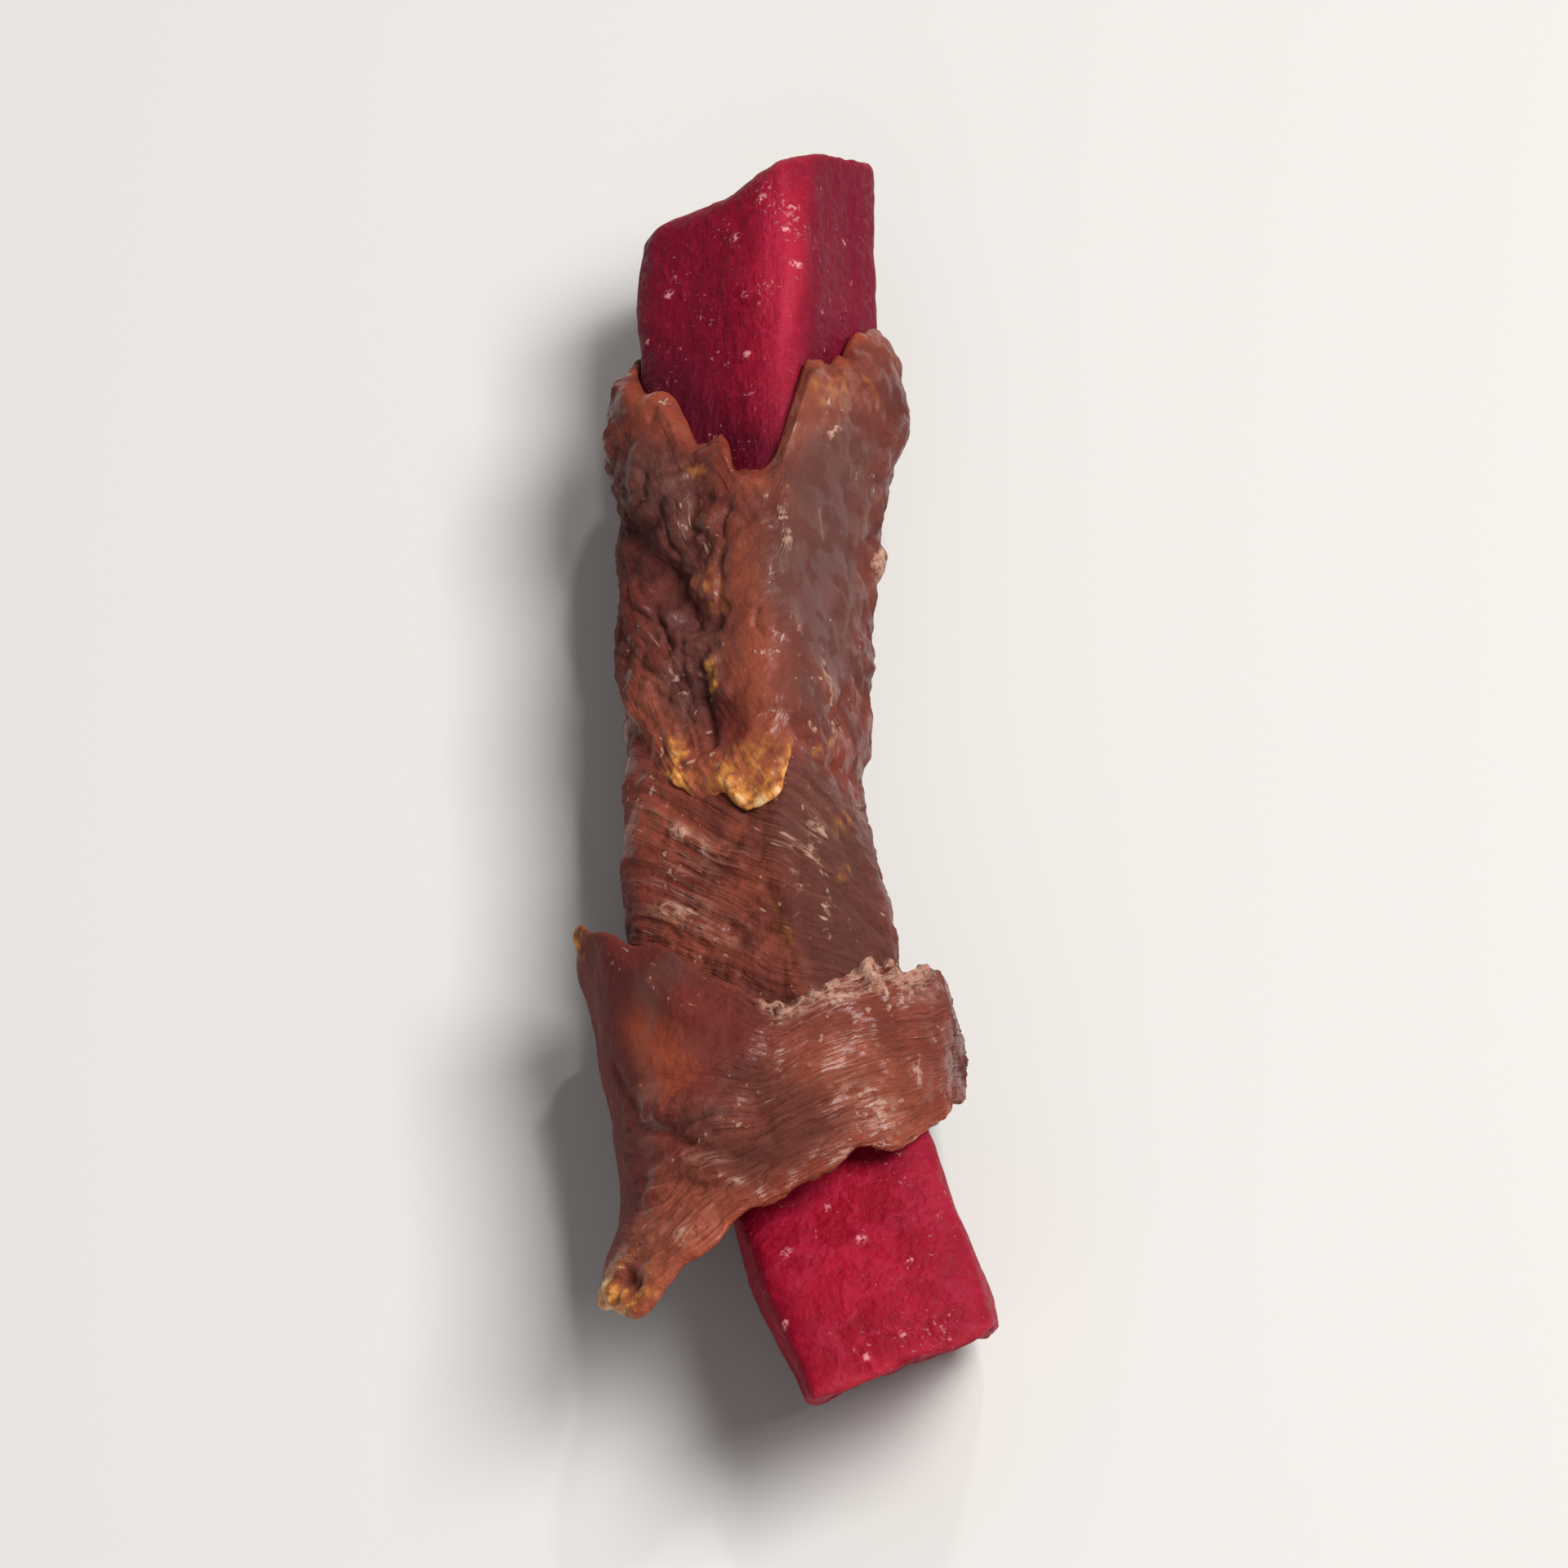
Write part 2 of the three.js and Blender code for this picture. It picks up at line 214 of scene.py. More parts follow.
MIDDLE_FLAKES_AND_GLINTS = [
    ([(130, -4.6), (124, -5.3), (117, -6.2), (106, -7.1), (98, -7.8)], 0.5, 0.6),
    ([(140, -8.9), (129, -10), (120, -10.9), (108, -11.9)], 0.55, 0.6),
    ([(79, -7.5), (74, -9.6), (76, -11.5), (79, -13.6)], 0.6, 0.55),
    ([(60, -5.8), (66, -7.8), (62, -8.4)], 0.9, 0.5),
    ([(62, -11), (66, -12.2)], 0.7, 0.5),
    ([(150, -4), (120, -8)], 2.4, 0.3),
    ([(134, -7), (112, -9.6), (96, -11)], 1.0, 0.16),
    ([(44, -3), (58, -7), (52, -11)], 1.4, 0.14),
]
MIDDLE_FAT = [
    ([(38, -7.6), (50, -8.6)], 0.5, 0.25),
    ([(28, -3.4), (44, -5)], 0.9, 0.2),
    ([(85, -10), (82, -13.4)], 0.4, 0.15),
    ([(138, -9.4), (132, -10)], 0.5, 0.3),
]
CUFF_FOLDS = [
    ([(150, -13), (132, -16), (112, -19)], 0.8, 0.2),
    ([(136, -18), (132, -21)], 1.4, -0.25),
    ([(157, -19), (140, -23.4), (127, -25), (118, -26), (92, -27.2)], 0.45, -0.3),
    ([(128, -23.4), (112, -24.2), (90, -24.4)], 0.8, 0.25),
    ([(122, -28.2), (108, -28.6)], 0.4, -0.15),
    ([(104, -21.6), (84, -22.2), (66, -21)], 0.4, -0.2),
    ([(74, -24), (56, -23)], 0.4, -0.2),
]
# The cuff's painted glow of light through thin meat: its line, width and strength.
CUFF_GLOW = [([(140, -17.2), (132, -19.6), (124, -21.6)], 1.25, 0.6)]
CUFF_FLAKES_AND_GLINTS = [
    ([(44, -20.6), (42, -21.4)], 0.4, 1.0),
    ([(53, -23.4), (48, -25.4)], 1.1, 0.55),
    ([(66, -22.6), (60, -24)], 1.2, 0.45),
    ([(70, -26.6), (64, -26.2)], 0.5, 0.65),
    ([(109, -28), (103, -28.3)], 0.2, 0.9),
    ([(118, -26.8), (110, -27)], 0.5, 0.5),
    ([(141, -22.8), (138, -23.4)], 0.16, 0.9),
    ([(132, -15.6), (131, -16.2)], 0.2, 0.8),
    ([(123, -30.8), (121, -31.4)], 0.4, 0.7),
    ([(146, -31), (128, -31)], 1.2, 0.4),
]

# Lumps of sugar on the baton: degrees, place and size.
SUGAR = [
    (104, 32, 0.3), (72, 29.6, 0.3), (144, 29.5, 0.28), (96, 28, 0.2), (95, 24.4, 0.3), (157, 27, 0.2),
    (89, 34, 0.28), (74, 33.2, 0.24), (77, 31.8, 0.24), (51, 28, 0.17), (45, 26, 0.17), (22, 34, 0.2),
    (91, -30, 0.28), (127, -29.3, 0.26), (103, -27.6, 0.2), (136, -33, 0.24), (107, -36.2, 0.2),
    (86, -35.6, 0.22), (71, -32, 0.16), (53, -30, 0.16),
]

# Where the baton is frosted with fine sugar, and where it is darker next to the upper turn's high edge.
FROST = [
    (76, 33.6, 0.9), (70, 31.8, 0.8), (84, 34.8, 0.9), (36, 35.4, 1.0), (138, -28.5, 0.7),
    (138, -31, 0.7), (136, -33.4, 0.8), (122, -35, 0.9), (92, -35.8, 0.9), (64, -35.4, 0.9),
    (62, -26.5, 1.3), (104, 29, 1.2),
]
DARKER_BY_MEAT = [(88, 16.5, 2.4), (100, 17, 3), (160, 24, 4), (132, 20, 3), (40, 22, 3)]

# Where the skin is even, wrinkled or stringy, and where fat or a pit lies: degrees, place and size.
UPPER_EVEN = [
    (55, 16, 3.5), (55, 10, 3.5), (52, 6, 2.6), (62, 20, 1.6), (90, 10, 1.8), (87, 6.5, 1.8), (84, 3, 1.4),
    (96, 0.6, 1.3),
]
UPPER_WRINKLED = [(120, 5, 3), (132, 9, 3), (118, 13, 3), (108, 9, 2), (150, 16, 3)]
UPPER_STRINGY = [(150, 4, 2.6), (142, 1, 2.2)]
TONGUE_FAT = [(86, -2, 2.0), (104, -3, 1.4)]
CUFF_EVEN = [(134, -15, 3.2), (120, -17.5, 2.6), (108, -19.5, 1.6), (150, -16, 3.5), (132, -20, 2)]
CUFF_FAT = [(145, -33.6, 2.2), (156, -32.8, 1.2), (168, -10.4, 0.9)]
CUFF_PIT = [(143, -32.5, 0.6), (139.5, -33.2, 0.45)]

# How far the upper turn's lower edge stands out of the turn below. Where it is negative, it melts in.
TONGUE_EDGE = [
    (0, -0.25), (12, -0.3), (24, -0.25), (62, -0.1), (70, 0.1), (78, 0.35), (88, 0.4), (98, 0.25),
    (108, 0.0), (120, -0.05), (130, 0.05), (150, -0.1), (165, 0.1), (190, 0.5), (300, 0.6), (340, 0.1),
    (360, -0.25),
]

# Tints of the skin: degrees, place and size of each patch.
# Grey is painted sheen and shade, and dark is painted shade.
# Wine red is partly the meat's own tone and partly painted shade.
MIDDLE_TINTS = {
    "warm": [
        (84, -9, 1), (83, -13, 1.2), (84, -16, 1.1), (122, -6, 1.4), (104, -9.6, 1.1), (112, -12.6, 0.9),
        (142, -4, 2.0), (96, -6, 1), (136, -13, 2),
    ],
    "grey_sheen_and_shade": [
        (58, -4, 2.4), (67, -5.6, 1.5), (52, -9, 2.2), (30, -5, 3), (20, -4, 3), (54, -12.4, 2.0),
        (60, -15, 1.6),
    ],
    "wine_and_shade": [(106, -15, 1.6), (94, -16.5, 1.4), (175, -8, 4), (124, -8, 1.5)],
    "painted_shade": [
        (62, -12, 2.2), (46, -11.6, 3), (30, -12, 4), (58, -15.5, 2.4), (104, -15.4, 1.2), (92, -16.8, 1.2),
        (118, -13.4, 1), (56, -8, 3.0), (44, -6, 3.2), (60, -4, 2.0), (100, -12.4, 0.8), (112, -8, 0.7),
    ],
}
UPPER_TINTS = {
    "warm": [
        (92, 12, 1.4), (90, 9, 1.7), (86, 6, 1.8), (84, 3, 1.6), (82, 0, 1.6), (84, 15.4, 1), (150, 3, 2.6),
        (140, 0.4, 2.4), (128, -1, 1.8), (116, -2.4, 1.5), (96, -2.4, 1.4), (86, -3, 1.3), (74, 19, 1.1),
        (68, 20.8, 1.3), (60, 20.4, 1.4), (68, 17.8, 1.1), (142, 22, 0.9), (132, 20, 0.9), (52, 23.6, 1.6),
        (126, 6.2, 1.1), (116, 5.6, 0.8), (118, 9.6, 0.9), (133, 10.6, 0.9), (122, 13.8, 1),
        (140, 16.6, 1.2),
    ],
    "grey_sheen_and_shade": [
        (50, 17, 2.8), (55, 12, 3), (60, 8, 2.4), (60, 2.6, 1.8), (42, 8, 3), (30, 12, 4), (24, 19, 3.5),
        (122, 4.6, 1.9), (115, 2.6, 1.6), (130, 8, 1.8), (120, 12.4, 1.8), (110, 6, 1.5), (150, 17, 2.4),
        (134, 15.4, 2),
    ],
    "wine_and_shade": [(98, 1.2, 0.9), (92, 0, 0.6), (108, 1.2, 0.6), (134, 6.2, 0.8), (160, 10, 3)],
    "painted_shade": [
        (152, 14.6, 1.4), (144, 12, 1.0), (130, 10.4, 0.8), (120, 8.6, 0.5), (110, 3, 0.4), (170, 13, 3),
        (174, 7, 3),
    ],
}
CUFF_TINTS = {
    "warm": [
        (134, -19.2, 1.9), (130, -21.6, 1.9), (138, -17.6, 1.3), (124, -30, 2.6), (136, -31.6, 2.6),
        (110, -29.6, 1.8), (62, -21.4, 2.2), (78, -21.6, 2), (48, -22.6, 2.2), (150, -32, 2.5),
    ],
    "grey_sheen_and_shade": [(136, -14.8, 2), (126, -16.4, 1.6), (112, -20, 1.8), (112, -24, 1.4), (84, -17.6, 1.2)],
    "wine_and_shade": [
        (150, -14, 2), (132, -13.6, 1), (118, -17.6, 1.8), (106, -19.6, 1.8), (116, -22.6, 1.6),
        (168, -14, 4), (166, -20, 4.5), (168, -26, 4.5), (158, -28, 2.6), (185, -17, 5),
    ],
    "painted_shade": [
        (112, -26.4, 1.4), (98, -26.8, 1.6), (86, -26.4, 1.4), (92, -23, 1.5), (80, -24.6, 1.6),
        (102, -22, 1),
    ],
}

# Meshes: corners round a turn, rows across its outside and inside, rows round each of its lips, and
# the share of the turn's width that a lip takes. Then the cuts of the baton's box, and where its rows
# go: a place in the box from -1 to 1 and the share of the baton's length.
UPPER_ROWS = {"around": 320, "outside": 238, "inside": 30, "lip": 8, "lip_share": 0.013}
MIDDLE_ROWS = {"around": 320, "outside": 240, "inside": 12, "lip": 8, "lip_share": 0.012}
CUFF_ROWS = {"around": 340, "outside": 180, "inside": 70, "lip": 8, "lip_share": 0.025}
BATON_CUTS = {"all_round": 55, "lengthwise": 5}
BATON_ROWS = [(-1, 0), (-0.5, 0.26), (0.15, 0.68), (1, 1)]

# The gap under each turn, the size of one strand of meat, and the radius at which degrees are measured.
GAP = 0.04
STRAND = {"width": 0.5, "length": 5.0}
TURN_RADIUS = 6.5
CUFF_RADIUS = 9.0
BATON_RADIUS = 5.5

# Colours of the dried meat and of the sweet potato.
MEAT = {
    "deep": (0.100, 0.017, 0.012),
    "bright": (0.220, 0.040, 0.023),
    "warm": (0.345, 0.078, 0.036),
    # Painted sheen of the right facets, darkened where they lie in shade.
    "grey_sheen_and_shade": (0.108, 0.047, 0.038),
    # The meat's own wine red, and painted shade on the left walls and under edges.
    "wine_and_shade": (0.140, 0.011, 0.010),
    # Painted shade.
    "painted_shade": (0.055, 0.014, 0.010),
    "blotch": (0.085, 0.016, 0.012),
    "mottle": (0.130, 0.030, 0.020),
    # Painted highlight on the strands' backs.
    "strand": (0.330, 0.100, 0.065),
    # Painted glow of light through thin meat.
    "thin_glow": (0.420, 0.070, 0.024),
    # Painted shade in creases and pits.
    "crease_shade": (0.045, 0.008, 0.008),
    "amber_fat": (0.620, 0.250, 0.050),
    "pale_fat": (0.680, 0.440, 0.220),
    # Pale frayed and flaked meat, also laid on painted glints.
    "frayed": (0.480, 0.280, 0.200),
    "shine": (0.480, 0.240, 0.175),
    # Pale flecks, partly painted glints.
    "speck": (0.540, 0.330, 0.240),
}
POTATO = {
    "deep": (0.240, 0.002, 0.013),
    "bright": (0.340, 0.004, 0.021),
    "mottle": (0.200, 0.002, 0.013),
    "grain": (0.450, 0.014, 0.040),
    "vein": (0.470, 0.020, 0.062),
    # Painted shade.
    "painted_shade": (0.110, 0.004, 0.016),
    "cap": (0.260, 0.010, 0.028),
    "strand": (0.230, 0.004, 0.026),
    # Painted highlight along the top corner.
    "corner": (0.430, 0.022, 0.055),
    "cut": (0.480, 0.040, 0.060),
    "beside_meat": (0.055, 0.003, 0.010),
    "frost": (0.640, 0.220, 0.240),
    "sugar": (0.600, 0.235, 0.255),
}

# How light enters each flesh and leaves it, and the bump of its skin, in metres.
MEAT_SHADER = {
    "Subsurface Weight": 0.12,
    "Subsurface Radius": (1.0, 0.25, 0.12),
    "Subsurface Scale": 0.0006,
    "Coat Roughness": 0.16,
    "Specular IOR Level": 0.18,
}
POTATO_SHADER = {
    "Subsurface Weight": 0.25,
    "Subsurface Radius": (1.0, 0.08, 0.12),
    "Subsurface Scale": 0.0008,
    "Specular IOR Level": 0.08,
}
MEAT_BUMP = {"Strength": 1.0, "Distance": 0.00016}
POTATO_BUMP = {"Strength": 0.9, "Distance": 0.0001}

# The studio, in metres, watts and degrees: lights as name, place, size, power and colour.
LIGHTS = [
    ("key", (0.32, 0.02, 0.62), 0.36, 6.2, (1.0, 0.98, 0.96)),
    ("front", (-0.20, -0.55, 0.45), 0.60, 0.8, (0.97, 0.98, 1.0)),
    ("glint", (0.12, 0.36, 0.60), 0.04, 0.55, (1.0, 0.99, 0.97)),
]
WORLD_STRENGTH = 0.17
FLOOR = {"size": 3.0, "colour": (0.62, 0.61, 0.59), "roughness": 0.7}
CAMERA = {"height": 0.0089, "distance": 0.6843, "elevation": 60, "sensor": 36, "lens": 291}


def deselect():
    bpy.ops.object.select_all(action="DESELECT")


def smoothstep(low, high, value):
    t = np.clip((value - low) / (high - low), 0, 1)
    return t * t * (3 - 2 * t)


def within(sides, value):
    """1 between two sides and 0 outside them."""
    return smoothstep(*sides[0], value) * smoothstep(*sides[1], value)


def beyond(sides, value):
    """1 past either of two sides and 0 between them."""
    return smoothstep(*sides[0], value) + smoothstep(*sides[1], value)


def mix(first, second, share):
    return first + (second - first) * share


def along(run, place):
    """The smooth value of a run at places. Outside its stations it keeps the end values."""
    at, value = np.array(run, float).T
    before = np.maximum(np.arange(len(at)) - 1, 0)
    after = np.minimum(np.arange(len(at)) + 1, len(at) - 1)
    slope = (value[after] - value[before]) / (at[after] - at[before])
    place = np.clip(place, at[0], at[-1])
    i = np.clip(np.searchsorted(at, place, side="right") - 1, 0, len(at) - 2)
    span = at[i + 1] - at[i]
    t = (place - at[i]) / span
    bend = span * t * (1 - t) * ((1 - t) * slope[i] - t * slope[i + 1])
    return mix(value[i], value[i + 1], t * t * (3 - 2 * t)) + bend


def smooth_edge(edge, angle):
    """The place of an edge at angles."""
    turned = [(at + by, place) for by in (-360, 0, 360) for at, place in edge]
    return along(turned, np.degrees(angle) % 360)


def edge_at(edge, angle):
    """The place of an edge at angles, with the small tears of a cut strip."""
    tear = sum(np.sin(n * angle + 2 * i + edge[0][1]) for i, n in enumerate(RAGGED["waves"]))
    return smooth_edge(edge, angle) + RAGGED["depth"] * tear


def turned_by(angle, degrees):
    """How far angles are turned from a direction, the short way round, in radians."""
    turn = angle - math.radians(degrees)
    return np.arctan2(np.sin(turn), np.cos(turn))


def square_reach(angle, half, twist, softness):
    """Distance from the middle to the outline of a rounded square."""
    c = np.abs(np.cos(angle - twist)) ** softness
    s = np.abs(np.sin(angle - twist)) ** softness
    return half / (c + s) ** (1 / softness)


def twist_at(place):
    return np.radians(along(BATON["twist"], place))


def baton_reach(angle, place):
    dried = 1 + sum(depth * np.sin(turn * place + n * angle) for depth, turn, n in WAVES)
    softness = along(SOFTNESS["baton"], place)
    return dried * square_reach(angle, along(BATON["half_width"], place), twist_at(place), softness)


def section_point(angle, reach, place):
    """A point in the section of the baton at a place, square to the baton's middle line."""
    middle = BATON["middle_x"]
    lean = np.arctan(along(middle, place + 0.5) - along(middle, place - 0.5))
    across = reach * np.cos(angle)
    x = along(middle, place) + across * np.cos(lean)
    z = along(BATON["middle_z"], place) + reach * np.sin(angle)
    return np.stack([x, place - across * np.sin(lean), z], axis=-1)


def swelling_at(angle, place):
    total = 0
    for degrees, centre, wide, long, high in SWELLINGS:
        round_ = turned_by(angle, degrees) / math.radians(wide)
        total = total + high * np.exp(-(round_ ** 2) - ((place - centre) / long) ** 2)
    return total


def turn_reach(turn, angle, place):
    wound = square_reach(angle, along(turn["half_width"], place), twist_at(place), SOFTNESS["meat"])
    return np.maximum(wound + swelling_at(angle, place), baton_reach(angle, place) + turn["thinnest"])


def cuff_reach(angle, place):
    side = np.where(np.cos(angle) > 0, along(CUFF["right_width"], place), along(CUFF["left_width"], place))
    c = np.abs(np.cos(angle) / side) ** SOFTNESS["cuff"]
    s = np.abs(np.sin(angle) / along(CUFF["height"], place)) ** SOFTNESS["cuff"]
    return 1 / (c + s) ** (1 / SOFTNESS["cuff"])


def lumps(points, size, seed=0):
    """Soft noise from -1 to 1, with lumps of a size in the points' own unit. A seed moves it elsewhere."""
    moved = np.asarray(points) / size + np.array([13.7, 5.1, 9.3]) * seed
    return np.array([noise.noise(p) for p in moved.tolist()])


def humps(points, size, seed=0):
    """Rounded humps with sharp valleys between them, from 0 in a valley to 1."""
    return np.minimum(2.4 * np.abs(lumps(points, size, seed)), 1)


def creases(points, size, seed=0):
    """Thin lines between lumps: 1 on a line and 0 away from it."""
    return smoothstep(0.16, 0, np.abs(lumps(points, size, seed)))


def flakes(points, size, count, seed=0):
    """Noise that climbs slowly and drops at once, as flakes do that lie over each other."""
    climb = lumps(points, size, seed) * count
    rest = climb - np.floor(climb)
    return rest * smoothstep(1, 0.93, rest)


def torn(angle, radius, seed):
    """Tears of an edge, seamless round the chew, in millimetres."""
    circle = np.stack([np.cos(angle), np.sin(angle), 0 * angle], axis=-1) * radius
    return sum(depth * lumps(circle, size, seed) for size, depth in TEARS)


def on_lines(lines, angle, place, radius):
    """The sum of the heights or strengths that each point gets from the lines it is near."""
    total = 0
    turned = np.degrees(angle) % 360
    for line, wide, high in lines:
        nearest = np.full(angle.shape, np.inf)
        for (from_degrees, from_place), (to_degrees, to_place) in zip(line, line[1:]):
            start = np.array([math.radians(from_degrees) * radius, from_place])
            step = np.array([math.radians(to_degrees) * radius, to_place]) - start
            away = np.stack([np.radians(turned) * radius, place], axis=-1) - start
            share = np.clip(away @ step / (step @ step), 0, 1)
            nearest = np.minimum(nearest, np.linalg.norm(away - share[:, None] * step, axis=-1))
        total = total + high * np.exp(-((nearest / wide) ** 2))
    return total


def spots(angle, place, radius, marks):
    """How near each point is to marked spots: degrees, place and size of each."""
    total = 0
    for degrees, centre, size in marks:
        round_ = turned_by(angle, degrees) * radius
        total = total + np.exp(-(round_ ** 2 + (place - centre) ** 2) / size ** 2)
    return total


def wall_stations(rows):
    """Stations round the wall's section: the share across the turn and the depth in its wall, 0 inside."""
    lip = rows["lip_share"]
    outside = [(share, 1.0) for share in np.linspace(lip, 1 - lip, rows["outside"])]
    inside = [(share, 0.0) for share in np.linspace(1 - lip, lip, rows["inside"])]
    bends = np.linspace(0, math.pi, rows["lip"] + 2)[1:-1]
    high_lip = [(1 - lip * (1 - math.sin(bend)), (1 + math.cos(bend)) / 2) for bend in bends]
    low_lip = [(lip * (1 - math.sin(bend)), (1 - math.cos(bend)) / 2) for bend in bends]
    return np.array(outside + high_lip + inside + low_lip)


def read_corners(piece):
    corners = np.empty(len(piece.data.vertices) * 3)
    piece.data.vertices.foreach_get("co", corners)
    return corners.reshape(-1, 3)


def ring(name, rows, radius, place_all):
    """A closed turn: a torus cut fine, whose corners go where place_all says for angle, share and depth.

    A torus takes at most 256 segments, so it starts with half of them and every edge is cut once.
    """
    stations = wall_stations(rows)
    large, small = radius * MM, radius * MM / 3
    deselect()
    bpy.ops.mesh.primitive_torus_add(
        major_segments=rows["around"] // 2,
        minor_segments=len(stations) // 2,
        major_radius=large,
        minor_radius=small,
    )
    piece = bpy.context.object
    piece.name = name
    bpy.ops.object.mode_set(mode="EDIT")
    bpy.ops.mesh.subdivide(number_cuts=1)
    bpy.ops.object.mode_set(mode="OBJECT")
    x, y, z = read_corners(piece).T
    angle = np.arctan2(y, x) % (2 * math.pi)
    section = np.arctan2(z, np.hypot(x, y) - large) / (2 * math.pi)
    station = np.rint(section * len(stations)).astype(int) % len(stations)
    share, depth = stations[station].T
    place_all(piece, angle, share, depth)
    return piece


def set_corners(piece, points):
    """Puts a mesh's corners at points in millimetres, pressed flat where they reach the floor."""
    placed = points + OFFSET
    placed[:, 2] = np.maximum(placed[:, 2], 0)
    piece.data.vertices.foreach_set("co", (placed * MM).ravel())
    piece.data.update()


def face_outwards(piece):
    bpy.context.view_layer.objects.active = piece
    bpy.ops.object.mode_set(mode="EDIT")
    bpy.ops.mesh.select_all(action="SELECT")
    bpy.ops.mesh.normals_make_consistent(inside=False)
    bpy.ops.object.mode_set(mode="OBJECT")


def raise_skin(piece, points, height):
    """Moves each corner along its normal by a height in millimetres."""
    normals = np.empty(len(points) * 3)
    piece.data.vertices.foreach_get("normal", normals)
    set_corners(piece, points + normals.reshape(-1, 3) * height[:, None])


def waved(grain, points, amount=1.0):
    """Bends the strands softly to and fro."""
    return grain + amount * np.stack([lumps(points, 3.0, seed) for seed in (41, 42, 43)], axis=-1)


def keep_grain(piece, grain):
    """Stores the way the strands run: one unit is one strand across and one strand along."""
    attribute = piece.data.attributes.new("grain", "FLOAT_VECTOR", "POINT")
    attribute.data.foreach_set("vector", np.ascontiguousarray(grain, dtype=np.float32).ravel())


def keep_strength(piece, fibrous):
    """Stores how clearly the strands show, from 0 to 1."""
    attribute = piece.data.attributes.new("fibrous", "FLOAT", "POINT")
    attribute.data.foreach_set("value", fibrous.clip(0, 1).astype(np.float32))


def keep_colour(piece, name, channels):
    """Stores four channels from 0 to 1 as one colour."""
    attribute = piece.data.color_attributes.new(name, "FLOAT_COLOR", "POINT")
    attribute.data.foreach_set("color", channels.clip(0, 1).astype(np.float32).ravel())


def keep_marks(piece, *channels):
    """Stores four kinds of marks that a material reads."""
    keep_colour(piece, "marks", np.stack(channels, axis=-1))


def keep_tints(piece, angle, place, radius, tints):
    """Stores how warm each point is, its painted grey sheen and shade, its wine red and its painted shade.
    """
    channels = [spots(angle, place, radius, tints[tint]) for tint in ("warm", "grey_sheen_and_shade", "wine_and_shade", "painted_shade")]
    keep_colour(piece, "tints", np.stack(channels, axis=-1))


def finish_skin(piece):
    piece.data.polygons.foreach_set("use_smooth", [True] * len(piece.data.polygons))
    piece.data.update()


def skin_relief(points, grain, fibrous, wrinkled, rough):
    """The dried meat's own texture: its height, and how deep each point lies between humps and strands."""
    large, fine = humps(points * [1, 0.75, 1], 3.0, 12), humps(points, 1.5, 13)
    between = fibrous * (0.6 * creases(grain, 1.9, 3) + 0.4 * creases(grain, 1.0, 4))
    valleys = wrinkled * (0.7 * (1 - large) ** 2 + 0.5 * (1 - fine) ** 2)
    height = 0.26 * lumps(points, 5.0, 1) + 0.16 * lumps(points, 2.2, 2)
    height = height + wrinkled * (0.40 * large + 0.26 * fine - 0.33)
    height = height + fibrous * 0.08 * lumps(grain, 1.3, 5) - 0.14 * between
    height = height + rough * 0.07 * flakes(grain, 4.0, 3.5, 6)
    height = height + (rough + wrinkled) * (0.08 * lumps(points, 0.8, 7) + 0.05 * lumps(points, 0.4, 8))
    # The second value, how deep a point lies between humps and strands, is painted as shade.
    return height, np.maximum(between, valleys)


def middle_outside(angle, place):
    """Outside of the middle turn, which sinks where the upper turn presses on it."""
    pressed = smoothstep(*MIDDLE_TURN["pressed"], place - edge_at(UPPER_TURN["low_edge"], angle))
    return turn_reach(MIDDLE_TURN, angle, place) - MIDDLE_TURN["pressed_depth"] * pressed


def middle_grain(angle, place):
    """Strands of the middle turn run down to the right over its top."""
    turned = angle - math.radians(MIDDLE_TURN["strand_middle"])
    across = place - MIDDLE_TURN["strand_slope"] * TURN_RADIUS * np.sin(turned)
    long = TURN_RADIUS / STRAND["length"]
    return np.stack([np.cos(angle) * long, np.sin(angle) * long, across / STRAND["width"]], axis=-1)


def upper_grain(angle, place):
    """Strands of the upper turn run along the chew and lean round it a little."""
    leant = angle - math.radians(UPPER_TURN["strand_lean"]) * place
    wide = TURN_RADIUS / STRAND["width"]
    return np.stack([np.cos(leant) * wide, np.sin(leant) * wide, place / STRAND["length"]], axis=-1)


def cuff_grain(angle, place):
    """Strands of the cuff run round it, and fan out where it is wide."""
    low, high = smooth_edge(CUFF["low_edge"], angle), smooth_edge(CUFF["high_edge"], angle)
    long = CUFF_RADIUS / STRAND["length"]
    across = (place - low) / (high - low) * CUFF["width"] / STRAND["width"]
    return np.stack([np.cos(angle) * long, np.sin(angle) * long, across], axis=-1)


def place_middle(piece, angle, share, depth):
    """Gives the middle turn its form, skin and marks."""
    place = mix(edge_at(MIDDLE_TURN["low_edge"], angle), edge_at(MIDDLE_TURN["high_edge"], angle), share)
    outside = middle_outside(angle, place) + on_lines(MIDDLE_FOLDS, angle, place, TURN_RADIUS)
    points = section_point(angle, mix(baton_reach(angle, place) + GAP, outside, depth), place)
    set_corners(piece, points)
    face_outwards(piece)
    grain = waved(middle_grain(angle, place), points, 0.6)
    rough = (0.7 + 0.8 * lumps(points, 5, 9)).clip(0.1, 1.4)
    fibrous = 0.8 + 0.4 * lumps(points, 7, 10)
    flakes_and_glints = on_lines(MIDDLE_FLAKES_AND_GLINTS, angle, place, TURN_RADIUS) * (0.75 + 0.8 * lumps(points, 0.8, 14))
    height, between = skin_relief(points, grain, fibrous, 0.35, rough)
    raise_skin(piece, points, (height + 0.12 * flakes_and_glints) * depth)
    fat = on_lines(MIDDLE_FAT, angle, place, TURN_RADIUS) * (0.9 + 0.8 * lumps(grain, 1.5, 16))
    keep_grain(piece, grain)
    keep_strength(piece, fibrous)
    # Its marks: fat, flakes with painted glints, no painted glow, and painted shade between strands.
    keep_marks(piece, fat, flakes_and_glints, 0 * angle, 0.7 * between)
    keep_tints(piece, angle, place, TURN_RADIUS, MIDDLE_TINTS)
    finish_skin(piece)


